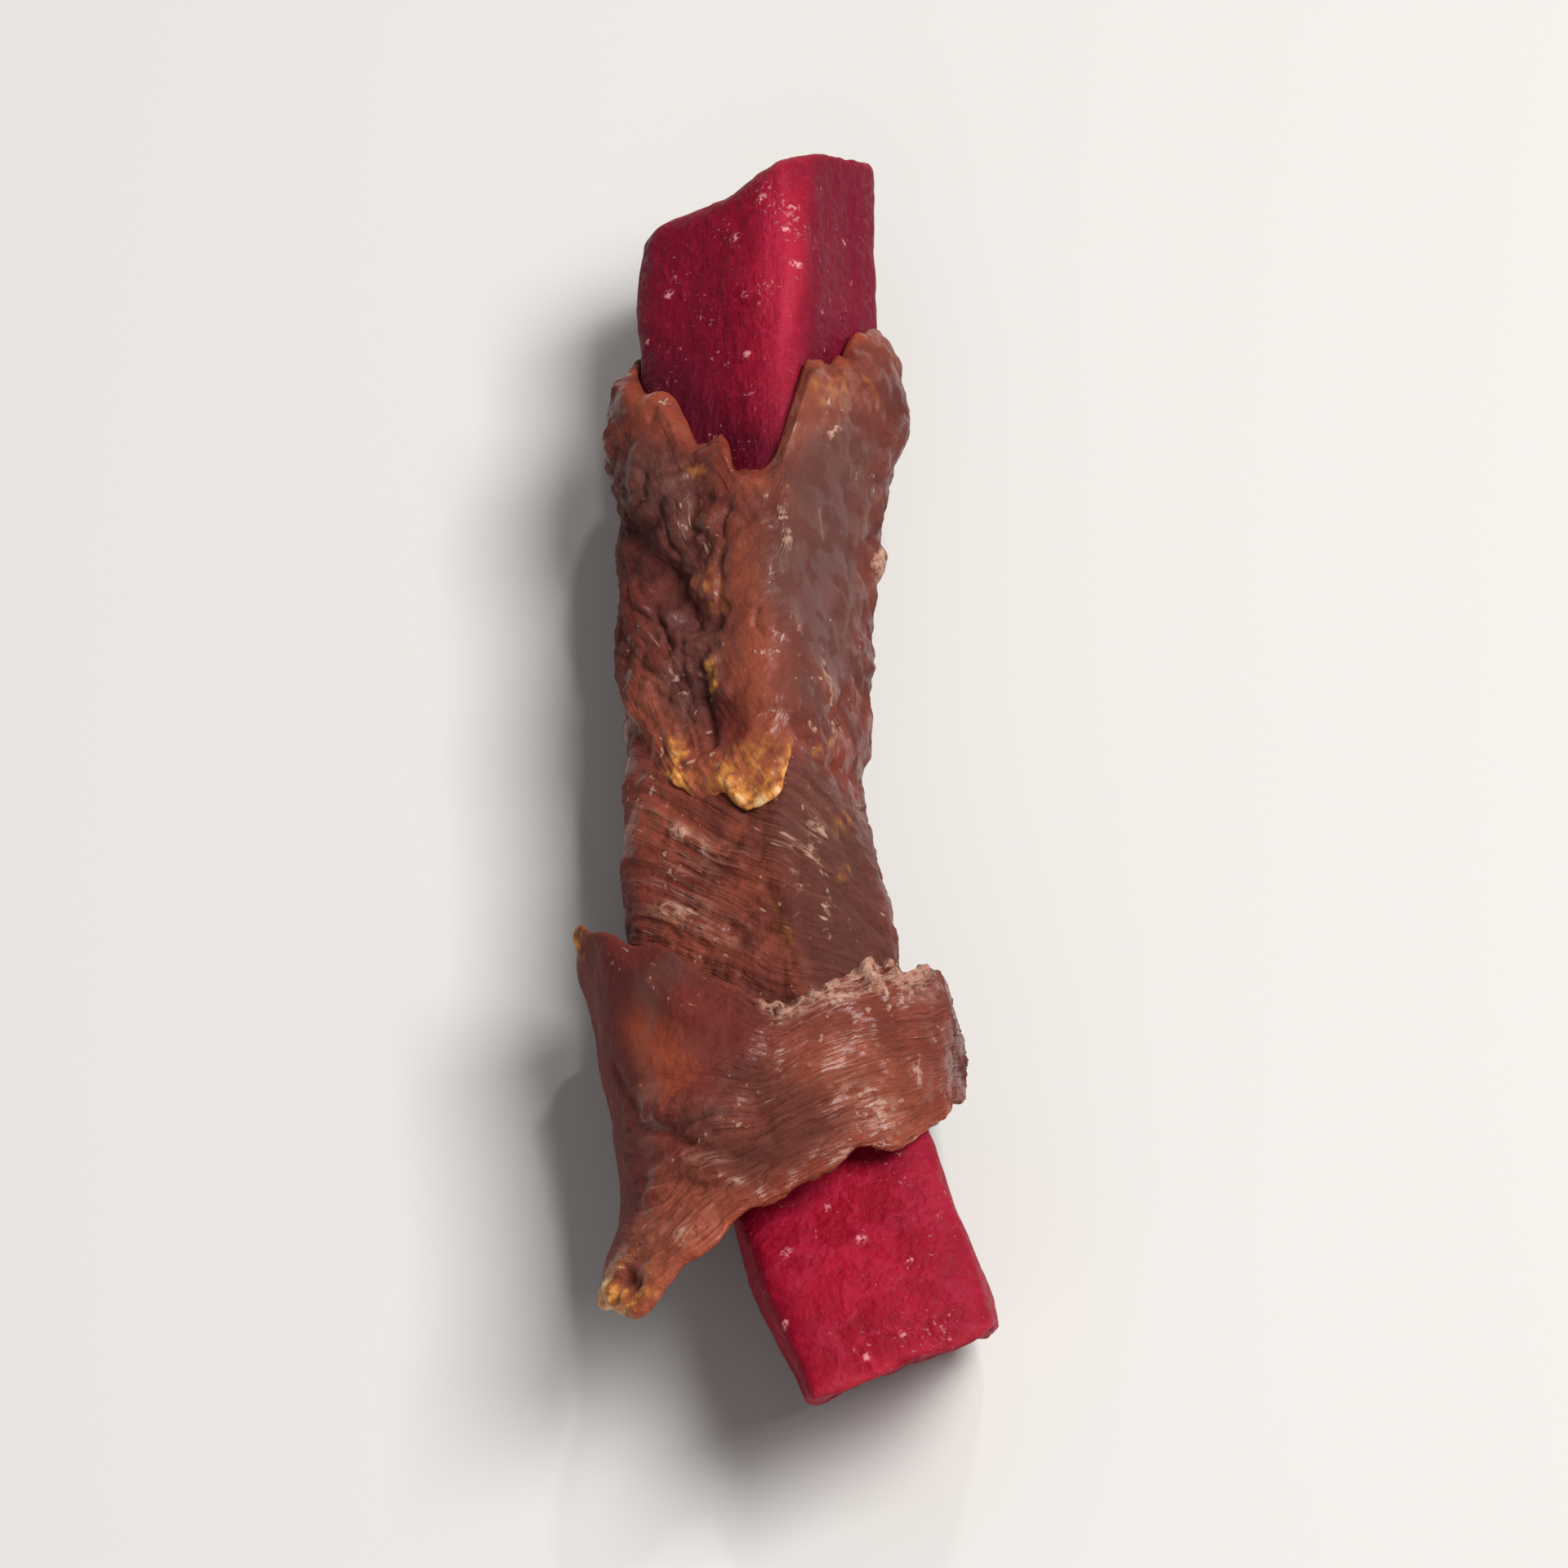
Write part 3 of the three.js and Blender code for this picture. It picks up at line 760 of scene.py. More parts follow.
def upper_wall(angle, place, from_low, from_high, folds):
    """Outside and inside of the upper turn: a thin collar, a full middle and a rim that melts in."""
    middle = middle_outside(angle, place) + on_lines(MIDDLE_FOLDS, angle, place, TURN_RADIUS)
    on_baton = smoothstep(*UPPER_TURN["leaves_middle_turn"], place)
    under = mix(middle, baton_reach(angle, place), on_baton) + GAP
    full = np.maximum(turn_reach(UPPER_TURN, angle, place), under + UPPER_TURN["least_height"])
    tongue = along(TONGUE_EDGE, np.degrees(angle))
    outside = mix(under + tongue, full, smoothstep(0, UPPER_TURN["tongue_width"], from_low))
    collar = UPPER_TURN["collar"] + 0.25 * torn(angle, TURN_RADIUS, 13)
    collar_width = UPPER_TURN["collar_width"] + torn(angle, TURN_RADIUS, 14)
    outside = mix(under + collar, outside, smoothstep(0, collar_width, from_high))
    outside = np.maximum(outside + folds, under + np.minimum(tongue, 0.3))
    return outside, np.minimum(under, outside - UPPER_TURN["least_wall"])


def upper_fat(points, angle, place, from_low):
    """Fat along the tongue's edge, along its own lines and in patches on the tongue."""
    on_tongue = within(UPPER_TURN["tongue"], np.degrees(angle))
    fat = on_tongue * np.exp(-((from_low / 1.0) ** 2)) * (0.8 + 1.2 * lumps(points, 0.9, 16))
    fat = fat + on_lines(UPPER_FAT, angle, place, TURN_RADIUS) * (0.9 + 0.8 * lumps(points, 0.9, 17))
    return fat + 0.25 * spots(angle, place, TURN_RADIUS, TONGUE_FAT)


def place_upper(piece, angle, share, depth):
    """Gives the upper turn its form, skin and marks."""
    low = edge_at(UPPER_TURN["low_edge"], angle)
    high = edge_at(UPPER_TURN["high_edge"], angle)
    from_low, from_high = share * (high - low), (1 - share) * (high - low)
    place = mix(low, high, share)
    place = place + 1.3 * torn(angle, TURN_RADIUS, 11) * np.exp(-from_low / 1.2)
    place = place + torn(angle, TURN_RADIUS, 12) * np.exp(-from_high / 1.2)
    place = place + 0.5 * torn(angle, 3 * TURN_RADIUS, 15) * np.exp(-from_high / 0.6)
    folds = on_lines(UPPER_FOLDS, angle, place, TURN_RADIUS)
    outside, inside = upper_wall(angle, place, from_low, from_high, folds)
    points = section_point(angle, mix(inside, outside, depth), place)
    set_corners(piece, points)
    face_outwards(piece)
    grain = waved(upper_grain(angle, place), points)
    even = spots(angle, place, TURN_RADIUS, UPPER_EVEN).clip(0, 1)
    wrinkled = 0.45 + 0.65 * spots(angle, place, TURN_RADIUS, UPPER_WRINKLED)
    wrinkled = wrinkled.clip(0, 1.1) * (1 - 0.9 * even)
    rough = (0.9 + 0.9 * lumps(points, 5, 9)).clip(0.15, 2) * (1 - 0.8 * even)
    fibrous = (0.15 + 0.3 * lumps(points, 7, 10)).clip(0, 1) * (1 - even)
    fibrous = fibrous + 0.5 * spots(angle, place, TURN_RADIUS, UPPER_STRINGY)
    height, between = skin_relief(points, grain, fibrous, wrinkled, rough)
    fat = upper_fat(points, angle, place, from_low)
    flakes_and_glints = on_lines(UPPER_FLAKES_AND_GLINTS, angle, place, TURN_RADIUS) * (0.8 + 0.8 * lumps(points, 0.7, 14))
    height = height + fat.clip(0, 1) * (0.1 + 0.3 * lumps(points, 0.9, 15)) + 0.12 * flakes_and_glints
    fade = smoothstep(-0.5, 0.8, np.minimum(from_low, from_high))
    raise_skin(piece, points, height * depth * fade)
    off_right = smoothstep(*UPPER_TURN["thin_rim"], np.degrees(angle))
    # A painted glow of light through the thin high rim.
    thin_glow = np.exp(-((from_high / 1.0) ** 2)) * off_right * (0.35 + 0.6 * lumps(points, 1.6, 24))
    # Painted shade between strands and in grooves, less on fat.
    crease_shade = (between - 1.3 * folds.clip(-1, 0)).clip(0, 1) * (1 - 0.8 * fat.clip(0, 1))
    keep_grain(piece, grain)
    keep_strength(piece, fibrous)
    keep_marks(piece, fat, flakes_and_glints, thin_glow, crease_shade)
    keep_tints(piece, angle, place, TURN_RADIUS, UPPER_TINTS)
    finish_skin(piece)


def cuff_point(angle, place, reach, off_body):
    """A point round the cuff's own middle line, moved outwards to lie off the body below it."""
    x = CUFF["middle_x"] + reach * np.cos(angle)
    z = CUFF["middle_z"] + reach * np.sin(angle)
    across = x - along(BATON["middle_x"], place)
    up = z - along(BATON["middle_z"], place)
    round_ = np.arctan2(up, across)
    on_turn = smoothstep(*CUFF["on_middle_turn"], place)
    body = mix(baton_reach(round_, place), middle_outside(round_, place), on_turn)
    now = np.hypot(across, up)
    more = np.maximum((body + GAP + off_body) / now - 1, 0)
    return np.stack([x + across * more, place, z + up * more], axis=-1)


def cuff_wall(angle, place, from_low, from_high):
    """Outside and inside of the cuff, which opens like a funnel at its near edge."""
    from_edge = np.minimum(from_low, from_high)
    thickness = mix(CUFF["rim_wall"], CUFF["wall"], smoothstep(0, 3, from_edge))
    outer = cuff_reach(angle, place) + on_lines(CUFF_FOLDS, angle, place, CUFF_RADIUS)
    opening = smoothstep(*CUFF["mouth"], place)
    outside = cuff_point(angle, place, outer, 1.0)
    return outside, cuff_point(angle, place, outer - thickness, mix(0.0, 0.25, opening))


def place_cuff(piece, angle, share, depth):
    """Gives the cuff its form, skin and marks."""
    low = edge_at(CUFF["low_edge"], angle)
    high = edge_at(CUFF["high_edge"], angle)
    from_low, from_high = share * (high - low), (1 - share) * (high - low)
    place = mix(low, high, share)
    place = place + 0.8 * torn(angle, CUFF_RADIUS, 21) * np.exp(-from_low / 1.0)
    place = place + 0.6 * torn(angle, CUFF_RADIUS, 22) * np.exp(-from_high / 1.0)
    outside, inside = cuff_wall(angle, place, from_low, from_high)
    points = mix(inside, outside, depth[:, None])
    set_corners(piece, points)
    face_outwards(piece)
    grain = waved(cuff_grain(angle, place), points)
    turned = np.degrees(angle)
    even = (spots(angle, place, CUFF_RADIUS, CUFF_EVEN) + within(CUFF["left_wall"], turned)).clip(0, 1)
    rough = (0.5 + 0.7 * lumps(points, 5, 9)).clip(0.05, 1.2) * (1 - 0.8 * even)
    fibrous = (0.9 + 0.3 * lumps(points, 7, 10)) * (1 - 0.9 * even)
    height, between = skin_relief(points, grain, fibrous, 0.25 * (1 - 0.8 * even), rough)
    frayed_width = mix(0.5, 1.6, smoothstep(*CUFF["widely_frayed"], turned))
    frayed = np.exp(-((from_high / frayed_width) ** 2)) * within(CUFF["frayed"], turned)
    frayed = frayed * (1.15 + 1.1 * lumps(points, 0.9, 14)).clip(0, 1.3)
    flakes_and_glints = on_lines(CUFF_FLAKES_AND_GLINTS, angle, place, CUFF_RADIUS) * (0.85 + 0.8 * lumps(points, 0.7, 18))
    lumpy = 0.5 + 0.5 * np.exp(-((from_low / 0.8) ** 2)) + 0.5 * lumps(points, 1.2, 17)
    fat = spots(angle, place, CUFF_RADIUS, CUFF_FAT) * lumpy.clip(0, 0.62)
    pit = spots(angle, place, CUFF_RADIUS, CUFF_PIT).clip(0, 1)
    height = height + frayed * (0.25 + 0.45 * lumps(points, 0.7, 11) + 0.2 * lumps(points, 0.35, 19))
    height = height + fat * (0.15 + 0.6 * lumps(points, 0.7, 11)) + 0.12 * flakes_and_glints - 0.55 * pit
    raise_skin(piece, points, height * (0.35 + 0.65 * depth))
    # A painted glow of light through thin meat, along the low edge and the glow's line.
    glow = on_lines(CUFF_GLOW, angle, place, CUFF_RADIUS) * (0.85 + 0.9 * lumps(grain, 2.5, 23))
    thin_glow = 0.4 * np.exp(-((from_low / 1.2) ** 2)) + glow
    keep_grain(piece, grain)
    keep_strength(piece, fibrous)
    # Its last mark is painted shade between strands and in the pit.
    keep_marks(piece, fat - pit, np.maximum(frayed, flakes_and_glints), thin_glow, np.maximum(0.5 * between, pit))
    keep_tints(piece, angle, place, CUFF_RADIUS, CUFF_TINTS)
    finish_skin(piece)


def fine_box(name):
    """A box of two units a side, cut fine all round and then finer lengthwise."""
    deselect()
    bpy.ops.mesh.primitive_cube_add(size=2)
    piece = bpy.context.object
    piece.name = name
    bpy.ops.object.mode_set(mode="EDIT")
    bpy.ops.mesh.select_mode(type="EDGE")
    bpy.ops.mesh.select_all(action="SELECT")
    bpy.ops.mesh.subdivide(number_cuts=BATON_CUTS["all_round"])
    bpy.ops.mesh.select_all(action="DESELECT")
    bpy.ops.object.mode_set(mode="OBJECT")
    for edge in piece.data.edges:
        start, end = (piece.data.vertices[i].co for i in edge.vertices)
        edge.select = abs(start.y - end.y) > 1e-4
    bpy.ops.object.mode_set(mode="EDIT")
    bpy.ops.mesh.subdivide(number_cuts=BATON_CUTS["lengthwise"])
    bpy.ops.object.mode_set(mode="OBJECT")
    return piece


def rounding_at(facet, share, from_end):
    """How much the sides draw in at the rims of the two cut ends."""
    on_top = np.exp(-(((facet - math.pi / 2) / 0.8) ** 4))
    corner = np.where(share > 0.5, 0.6 + 1.2 * on_top, 0.35)
    return corner * (1 - np.sqrt(1 - (1 - np.clip(from_end / corner, 0, 1)) ** 2))


def slant_at(points, across, up, place):
    """How far the slanted cuts of both ends move each point along the baton."""
    near_share = smoothstep(-BATON["straight"], BATON["near"], place)
    far_share = smoothstep(BATON["straight"], BATON["far"], place)
    slant = near_share * (BATON["near_slant"] * across + BATON["near_lean"] * up)
    slant = slant + far_share * (BATON["far_slant"] * across + BATON["far_lean"] * up)
    return slant + 0.35 * near_share * lumps(points * [1, 0, 1], 1.4, 36)


def baton_relief(points, grain, facet, rim, far_end, on_cap):
    """How far the sides and end faces have sunk, and the height of the dried skin."""
    dished = -0.25 * far_end * np.cos(2 * facet) ** 2 * rim - 0.3 * on_cap * (1 - rim ** 2)
    relief = 0.14 * lumps(points, 4.0, 31) + 0.08 * lumps(points, 1.4, 32) + 0.05 * lumps(points, 0.7, 33)
    relief = relief - far_end * (0.03 * creases(grain, 2.4, 34) - 0.05 * lumps(grain, 1.8, 38))
    relief = relief + on_cap * (0.16 * lumps(points, 1.8, 39) - 0.03 * creases(points, 2.0, 37))
    return dished + relief


def baton_shade(facet, left_of_corner, from_end, far_end, on_cap):
    """Painted shade beside the baton's top corner, at its far rim and on its near sides, and a darker far
    end.
    """
    left, right = smoothstep(0, 1.0, left_of_corner), smoothstep(-0.1, -0.4, left_of_corner)
    far = far_end * (0.2 + 0.7 * left + 0.8 * right)
    far = np.maximum(far, 0.6 * far_end * smoothstep(3.2, 1.6, from_end)) * (1 - 0.5 * on_cap)
    near_sides = beyond(BATON["near_sides"], np.degrees(facet))
    return far + (1 - far_end) * (0.08 + 0.26 * near_sides)


def sweet_potato():
    """The baton: a box cut fine, bent, twisted and given its slanted cuts and dried skin."""
    piece = fine_box("sweet_potato_baton")
    x, y, z = read_corners(piece).T
    share = along(BATON_ROWS, y)
    place = mix(BATON["near"], BATON["far"], share)
    facet = np.arctan2(z, x)
    angle = facet + twist_at(place)
    rim = np.maximum(np.abs(x), np.abs(z))
    from_end = np.minimum(share, 1 - share) * (BATON["far"] - BATON["near"])
    reach = rim * (baton_reach(angle, place) - rounding_at(facet, share, from_end))
    points = section_point(angle, reach, place)
    slant = slant_at(points, reach * np.cos(angle), reach * np.sin(angle), place)
    points[:, 1] += slant
    set_corners(piece, points)
    face_outwards(piece)
    grain = points / [STRAND["width"], STRAND["length"], STRAND["width"]]
    bare = beyond(BATON["bare_ends"], place)
    far_end = smoothstep(*BATON["far_end"], place)
    on_cap = smoothstep(1, 0.96, rim)
    sugar = spots(angle, place + slant, BATON_RADIUS, SUGAR) * smoothstep(0.9, 1, rim)
    height = baton_relief(points, grain, facet, rim, far_end, on_cap) + 0.1 * sugar.clip(0, 1)
    raise_skin(piece, points, height * bare)
    left_of_corner = facet - math.radians(BATON["top_corner"])
    # A painted highlight along the top corner, strongest at the far end.
    corner_highlight = np.exp(-((left_of_corner / 0.16) ** 2)) * rim ** 4 * mix(0.3, 1, far_end)
    corner_highlight = corner_highlight * (0.8 + 1.1 * lumps(grain, 1.8, 38))
    cut = np.exp(-((from_end / 0.5) ** 2)) * smoothstep(0.8, 1, rim) * (0.7 + 0.9 * lumps(points, 1.0, 35))
    darker_by_meat = spots(angle, place, BATON_RADIUS, DARKER_BY_MEAT)
    frost = spots(angle, place + slant, BATON_RADIUS, FROST)
    # Painted shade of the baton's sides and far rim.
    painted_shade = baton_shade(facet, left_of_corner, from_end, far_end, on_cap)
    keep_grain(piece, grain)
    keep_marks(piece, corner_highlight, cut, darker_by_meat, sugar)
    keep_colour(piece, "tints", np.stack([painted_shade, far_end, frost, on_cap], axis=-1))
    finish_skin(piece)
    return piece


def feed(tree, socket, value):
    """Links a socket to another node's value, or sets a plain one."""
    if isinstance(value, bpy.types.NodeSocket):
        tree.links.new(value, socket)
    else:
        socket.default_value = value


def node(tree, kind, inputs=None, **settings):
    """A node with its settings, and its inputs linked or set."""
    made = tree.nodes.new(kind)
    for name, value in settings.items():
        setattr(made, name, value)
    for name, value in (inputs or {}).items():
        feed(tree, made.inputs[name], value)
    return made


def new_group(name, inputs, outputs):
    """A shader node group with named inputs and outputs."""
    group = bpy.data.node_groups.new(name, "ShaderNodeTree")
    for label, kind, value in inputs:
        socket = group.interface.new_socket(label, in_out="INPUT", socket_type=kind)
        if value is not None:
            socket.default_value = value
    for label, kind in outputs:
        group.interface.new_socket(label, in_out="OUTPUT", socket_type=kind)
    return group, group.nodes.new("NodeGroupInput").outputs, group.nodes.new("NodeGroupOutput").inputs


def math_node(tree, operation, first, second=0.0, third=0.0):
    """The result of a sum with one, two or three values."""
    return node(tree, "ShaderNodeMath", {0: first, 1: second, 2: third}, operation=operation).outputs[0]


def largest(tree, first, *others):
    """The largest of several values at each point."""
    for other in others:
        first = math_node(tree, "MAXIMUM", first, other)
    return first


def scaled(tree, value, by):
    """A value times a number, kept between 0 and 1."""
    return node(tree, "ShaderNodeMath", {0: value, 1: by}, operation="MULTIPLY", use_clamp=True).outputs[0]


def ramp_between(tree, value, low, high, to_low=0.0, to_high=1.0):
    """Takes a value from one range to another, softly at both ends."""
    inputs = {"Value": value, "From Min": low, "From Max": high, "To Min": to_low, "To Max": to_high}
    return node(tree, "ShaderNodeMapRange", inputs, interpolation_type="SMOOTHSTEP").outputs["Result"]


def blend_colour(tree, share, first, second):
    """Goes from one colour to another by a share. Each is another node's value or three numbers."""
    made = node(tree, "ShaderNodeMix", {"Factor": share}, data_type="RGBA")
    for socket, value in ((made.inputs[6], first), (made.inputs[7], second)):
        feed(tree, socket, value if isinstance(value, bpy.types.NodeSocket) else (*value, 1))
    return made.outputs[2]


def tinted(tree, colour, layers):
    """Lays tints over a colour: the mask, the strength and the colour of each."""
    for mask, strength, tint in layers:
        colour = blend_colour(tree, scaled(tree, mask, strength), colour, tint)
    return colour


def mottle_group():
    """Patches of a size in millimetres, from 0 to 1."""
    group, given, out = new_group(
        "mottle",
        [
            ("Vector", "NodeSocketVector", None),
            ("Size", "NodeSocketFloat", 4.0),
            ("Contrast", "NodeSocketFloat", 1.0),
        ],
        [("Amount", "NodeSocketFloat")],
    )
    scale = math_node(group, "DIVIDE", 1000.0, given["Size"])
    patchy = node(group, "ShaderNodeTexNoise", {"Vector": given["Vector"], "Scale": scale, "Detail": 4.0})
    centred = math_node(group, "SUBTRACT", patchy.outputs["Fac"], 0.5)
    spread = math_node(group, "MULTIPLY", centred, given["Contrast"])
    wide = {0: spread, 1: 3.0, 2: 0.5}
    kept = node(group, "ShaderNodeMath", wide, operation="MULTIPLY_ADD", use_clamp=True)
    group.links.new(kept.outputs[0], out["Amount"])
    return group


def strands_group():
    """Fine strands on the grain, from 0 in the dips between them to 1 on their backs."""
    group, given, out = new_group(
        "strands",
        [("Grain", "NodeSocketVector", None), ("Fineness", "NodeSocketFloat", 1.0)],
        [("Height", "NodeSocketFloat")],
    )
    wavy = {"Vector": given["Grain"], "Distortion": 0.8}
    coarse = node(group, "ShaderNodeTexNoise", {**wavy, "Scale": given["Fineness"], "Detail": 3.0})
    finer = math_node(group, "MULTIPLY", given["Fineness"], 2.7)
    fine = node(group, "ShaderNodeTexNoise", {**wavy, "Scale": finer, "Detail": 2.0})
    both = math_node(group, "MULTIPLY_ADD", fine.outputs["Fac"], 0.5, coarse.outputs["Fac"])
    group.links.new(ramp_between(group, both, 0.45, 1.05), out["Height"])
    return group


def specks_group():
    """Small irregular specks that lie in clusters, as a mask from 0 to 1."""
    group, given, out = new_group(
        "specks",
        [
            ("Vector", "NodeSocketVector", None),
            ("Scale", "NodeSocketFloat", 2500.0),
            ("Plenty", "NodeSocketFloat", 0.5),
        ],
        [("Mask", "NodeSocketFloat")],
    )
    place = {"Vector": given["Vector"], "Detail": 1.0}
    fine = node(group, "ShaderNodeTexNoise", {**place, "Scale": given["Scale"]})
    wide = math_node(group, "MULTIPLY", given["Scale"], 0.13)
    cluster = node(group, "ShaderNodeTexNoise", {**place, "Scale": wide})
    lift = math_node(group, "MULTIPLY", math_node(group, "SUBTRACT", cluster.outputs["Fac"], 0.5), 0.45)
    raised = math_node(group, "ADD", fine.outputs["Fac"], lift)
    more = math_node(group, "MULTIPLY", given["Plenty"], 0.12)
    level = math_node(group, "ADD", raised, more)
    group.links.new(ramp_between(group, level, 0.71, 0.84), out["Mask"])
    return group


def veins_group():
    """Soft winding veins, as a mask from 0 to 1."""
    group, given, out = new_group(
        "veins",
        [("Vector", "NodeSocketVector", None), ("Scale", "NodeSocketFloat", 400.0)],
        [("Mask", "NodeSocketFloat")],
    )
    inputs = {"Vector": given["Vector"], "Scale": given["Scale"], "Detail": 3.0}
    winding = node(group, "ShaderNodeTexNoise", inputs)
    off_vein = math_node(group, "ABSOLUTE", math_node(group, "SUBTRACT", winding.outputs["Fac"], 0.5))
    group.links.new(ramp_between(group, off_vein, 0.07, 0.0), out["Mask"])
    return group


MOTTLE, STRANDS, SPECKS, VEINS = mottle_group(), strands_group(), specks_group(), veins_group()


def placed_group(tree, group, inputs):
    return node(tree, "ShaderNodeGroup", inputs, node_tree=group).outputs[0]


def patches(tree, where, size, contrast):
    return placed_group(tree, MOTTLE, {"Vector": where, "Size": size, "Contrast": contrast})


def strands(tree, grain, fineness):
    return placed_group(tree, STRANDS, {"Grain": grain, "Fineness": fineness})


def grit(tree, where, scale):
    """A fine, even roughness, which only the bump shows."""
    return node(tree, "ShaderNodeTexNoise", {"Vector": where, "Scale": scale, "Detail": 4.0}).outputs["Fac"]


def stored_channels(tree, name):
    """The four channels of a stored colour."""
    stored = node(tree, "ShaderNodeAttribute", attribute_name=name).outputs
    parts = node(tree, "ShaderNodeSeparateColor", {"Color": stored["Color"]}).outputs
    return (*(parts[i] for i in range(3)), stored["Alpha"])


def new_material(name):
    """A material with the shader, the places and the stored channels that its colours come from."""
    material = bpy.data.materials.new(name)
    material.use_nodes = True
    tree = material.node_tree
    where = node(tree, "ShaderNodeTexCoord").outputs["Object"]
    grain = node(tree, "ShaderNodeAttribute", attribute_name="grain").outputs["Vector"]
    mark, tint = stored_channels(tree, "marks"), stored_channels(tree, "tints")
    return material, tree, tree.nodes["Principled BSDF"], where, grain, mark, tint


def finish_shader(tree, shader, colour, roughness, height, bump, settings):
    """Feeds the shader its colour, roughness and bump, and gives it its own settings."""
    feed(tree, shader.inputs["Base Color"], colour)
    feed(tree, shader.inputs["Roughness"], roughness)
    raised = node(tree, "ShaderNodeBump", {"Height": height, **bump})
    feed(tree, shader.inputs["Normal"], raised.outputs["Normal"])
    for name, value in settings.items():
        shader.inputs[name].default_value = value


def dried_duck():
    """Dried breast meat: red-brown strands under a thin skin, with greasy sheen and pale fat."""
    material, tree, shader, where, grain, mark, (warm, grey_sheen_and_shade, wine_and_shade, painted_shade) = new_material("dried_duck")
    fat, dry_and_glints, thin_glow, crease_shade = mark
    fibrous = node(tree, "ShaderNodeAttribute", attribute_name="fibrous").outputs["Fac"]
    streaks = math_node(tree, "MULTIPLY", strands(tree, grain, 0.9), fibrous)
    fine = math_node(tree, "MULTIPLY", strands(tree, grain, 2.2), fibrous)
    small = patches(tree, where, 0.7, 1.3)
    colour = blend_colour(tree, patches(tree, where, 4.0, 1.5), MEAT["deep"], MEAT["bright"])
    colour = tinted(tree, colour, [
        (warm, 0.8, MEAT["warm"]),
        # Painted grey sheen and shade, wine red that is partly painted shade, and painted shade.
        (grey_sheen_and_shade, 0.85, MEAT["grey_sheen_and_shade"]),
        (wine_and_shade, 0.75, MEAT["wine_and_shade"]),
        (painted_shade, 0.75, MEAT["painted_shade"]),
        (patches(tree, where, 1.6, 1.5), 0.4, MEAT["blotch"]),
        (small, 0.25, MEAT["mottle"]),
        # Painted highlight on the strands' backs.
        (streaks, 0.22, MEAT["strand"]),
        # Painted glow of light through thin meat.
        (thin_glow, 0.75, MEAT["thin_glow"]),
        # Painted shade in creases and pits.
        (crease_shade, 0.55, MEAT["crease_shade"]),
    ])
    fatty = math_node(tree, "MULTIPLY", fat, math_node(tree, "ADD", small, 0.4))
    colour = blend_colour(tree, ramp_between(tree, fatty, 0.05, 0.7), colour, MEAT["amber_fat"])
    colour = blend_colour(tree, ramp_between(tree, fatty, 0.5, 1.2), colour, MEAT["pale_fat"])
    lumpy = math_node(tree, "ADD", patches(tree, where, 0.4, 1.5), 0.5)
    frayed = ramp_between(tree, math_node(tree, "MULTIPLY", dry_and_glints, lumpy), 0.45, 1.25)
    shine = math_node(tree, "MULTIPLY", ramp_between(tree, streaks, 0.35, 0.75), scaled(tree, dry_and_glints, 1.3))
    plenty = math_node(tree, "MULTIPLY_ADD", dry_and_glints, 1.7, -0.25)
    shorter = {0: where, 1: (500, 500, 500), 2: grain}
    on_strands = node(tree, "ShaderNodeVectorMath", shorter, operation="MULTIPLY_ADD").outputs["Vector"]
    flecks = placed_group(tree, SPECKS, {"Vector": on_strands, "Scale": 1.25, "Plenty": plenty})
    dust = placed_group(tree, SPECKS, {"Vector": where, "Scale": 1900.0, "Plenty": plenty})
    specks = math_node(tree, "MAXIMUM", flecks, dust)
    # Pale frayed meat and flakes, some of them painted glints, and pale specks, partly painted glints.
    colour = tinted(tree, colour, [
        (frayed, 0.66, MEAT["frayed"]),
        (shine, 0.45, MEAT["shine"]),
        (specks, 0.6, MEAT["speck"]),
    ])
    gloss = patches(tree, where, 1.6, 1.6)
    matt = largest(tree, gloss, painted_shade, wine_and_shade, frayed, scaled(tree, grey_sheen_and_shade, 0.5), crease_shade)
    feed(tree, shader.inputs["Coat Weight"], ramp_between(tree, matt, 0.8, 0.1, 0.0, 0.36))
    height = math_node(tree, "ADD", scaled(tree, fine, 0.3), scaled(tree, streaks, 0.55))
    height = math_node(tree, "MULTIPLY_ADD", grit(tree, where, 1800.0), 1.1, height)
    height = math_node(tree, "MULTIPLY_ADD", specks, 0.4, height)
    roughness = ramp_between(tree, matt, 0.0, 1.0, 0.34, 0.72)
    finish_shader(tree, shader, colour, roughness, height, MEAT_BUMP, MEAT_SHADER)
    return material


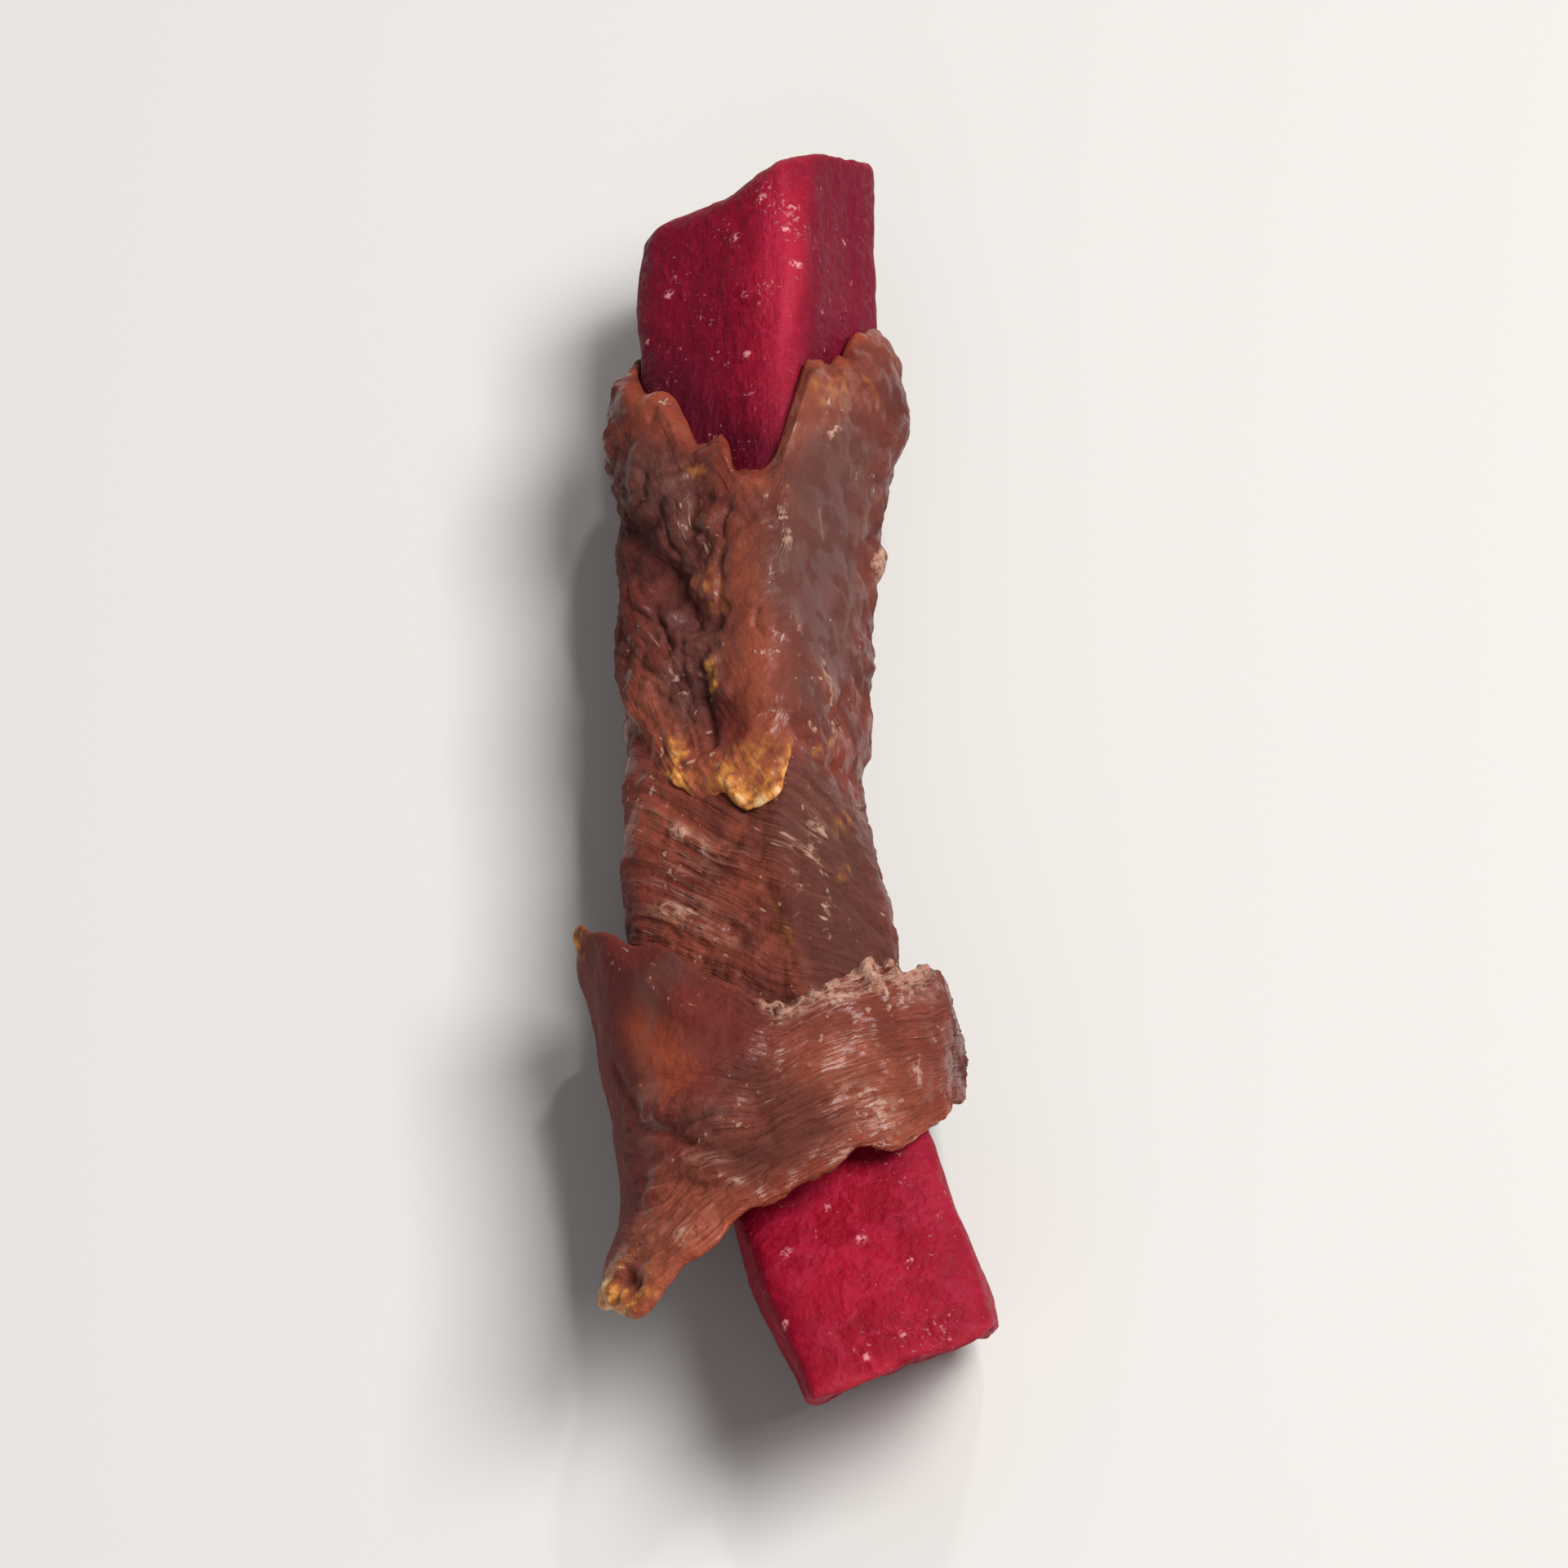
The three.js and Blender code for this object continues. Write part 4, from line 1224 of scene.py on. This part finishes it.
def purple_sweet_potato():
    """Dried crimson flesh: granular, with pale sugar grains and lighter cut edges."""
    material, tree, shader, where, grain, mark, tint = new_material("purple_sweet_potato")
    painted_shade, far_end, frost, on_cap = tint
    corner_highlight, cut, darker_by_meat, sugar = mark
    grains = patches(tree, where, 0.45, 1.3)
    veins = placed_group(tree, VEINS, {"Vector": where, "Scale": 420.0})
    lengthwise = math_node(tree, "MULTIPLY", strands(tree, grain, 1.3), far_end)
    plenty = math_node(tree, "MULTIPLY_ADD", frost, 0.75, scaled(tree, far_end, 0.05))
    dust = placed_group(tree, SPECKS, {"Vector": where, "Scale": 3400.0, "Plenty": plenty})
    colour = blend_colour(tree, patches(tree, where, 3.5, 1.2), POTATO["deep"], POTATO["bright"])
    colour = tinted(tree, colour, [
        (patches(tree, where, 1.3, 1.8), 0.45, POTATO["mottle"]),
        (grains, 0.2, POTATO["grain"]),
        (veins, 0.3, POTATO["vein"]),
        # Painted shade.
        (painted_shade, 0.85, POTATO["painted_shade"]),
        (on_cap, 0.4, POTATO["cap"]),
        (lengthwise, 0.3, POTATO["strand"]),
        # Painted highlight along the top corner.
        (corner_highlight, 0.7, POTATO["corner"]),
        (cut, 0.45, POTATO["cut"]),
        (darker_by_meat, 0.8, POTATO["beside_meat"]),
        (dust, 0.45, POTATO["frost"]),
    ])
    crumbs = math_node(tree, "ADD", patches(tree, where, 0.25, 1.6), 0.15)
    lumpy = math_node(tree, "MULTIPLY", sugar, crumbs)
    colour = blend_colour(tree, ramp_between(tree, lumpy, 0.15, 0.75), colour, POTATO["sugar"])
    height = math_node(tree, "ADD", scaled(tree, grains, 0.4), scaled(tree, dust, 0.5))
    ridges = math_node(tree, "ADD", scaled(tree, veins, 0.4), scaled(tree, lengthwise, 0.35))
    height = math_node(tree, "ADD", height, ridges)
    height = math_node(tree, "MULTIPLY_ADD", grit(tree, where, 3000.0), 0.9, height)
    roughness = ramp_between(tree, grains, 0.0, 1.0, 0.45, 0.65)
    finish_shader(tree, shader, colour, roughness, height, POTATO_BUMP, POTATO_SHADER)
    return material


def build_chew():
    """Builds the three turns of the strip and the baton, each in place of its solid."""
    duck = dried_duck()
    turns = [
        ring("duck_middle_turn", MIDDLE_ROWS, TURN_RADIUS, place_middle),
        ring("duck_upper_turn", UPPER_ROWS, TURN_RADIUS, place_upper),
        ring("duck_cuff", CUFF_ROWS, CUFF_RADIUS, place_cuff),
    ]
    for turn in turns:
        turn.data.materials.append(duck)
        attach(turn, "root")
        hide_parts("duck_strip")
    baton = sweet_potato()
    baton.data.materials.append(purple_sweet_potato())
    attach(baton, "root")
    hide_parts("sweet_potato")


def pale_floor():
    """A plain pale floor, which isn't part of the object."""
    deselect()
    bpy.ops.mesh.primitive_plane_add(size=FLOOR["size"])
    floor = bpy.context.object
    floor.name = "floor"
    material = bpy.data.materials.new("pale_floor")
    material.use_nodes = True
    shader = material.node_tree.nodes["Principled BSDF"]
    shader.inputs["Base Color"].default_value = (*FLOOR["colour"], 1)
    shader.inputs["Roughness"].default_value = FLOOR["roughness"]
    floor.data.materials.append(material)


def soft_light(name, place, size, power, colour):
    """A square area light that points at the chew."""
    bpy.ops.object.light_add(type="AREA", location=place)
    light = bpy.context.object
    light.name = name
    light.data.size = size
    light.data.energy = power
    light.data.color = colour
    light.rotation_euler = (-Vector(place)).to_track_quat("-Z", "Y").to_euler()


def studio():
    """The floor, the lights and an even, weak light from all round."""
    pale_floor()
    for light in LIGHTS:
        soft_light(*light)
    world = bpy.data.worlds.new("studio")
    world.use_nodes = True
    background = world.node_tree.nodes["Background"].inputs
    background["Color"].default_value = (1.0, 1.0, 1.0, 1)
    background["Strength"].default_value = WORLD_STRENGTH
    bpy.context.scene.world = world
    bpy.context.scene.view_settings.view_transform = "Standard"


def camera():
    """Looks down at 60 degrees from the near end, as the photograph does."""
    x, y, _ = OFFSET * MM
    target = Vector((x, y, CAMERA["height"]))
    elevation = math.radians(CAMERA["elevation"])
    back = Vector((0, -math.cos(elevation), math.sin(elevation)))
    bpy.ops.object.camera_add(location=target + back * CAMERA["distance"])
    made = bpy.context.object
    made.rotation_euler = (-back).to_track_quat("-Z", "Y").to_euler()
    made.data.sensor_width = CAMERA["sensor"]
    made.data.lens = CAMERA["lens"]
    bpy.context.scene.camera = made


camera()
build_chew()
studio()
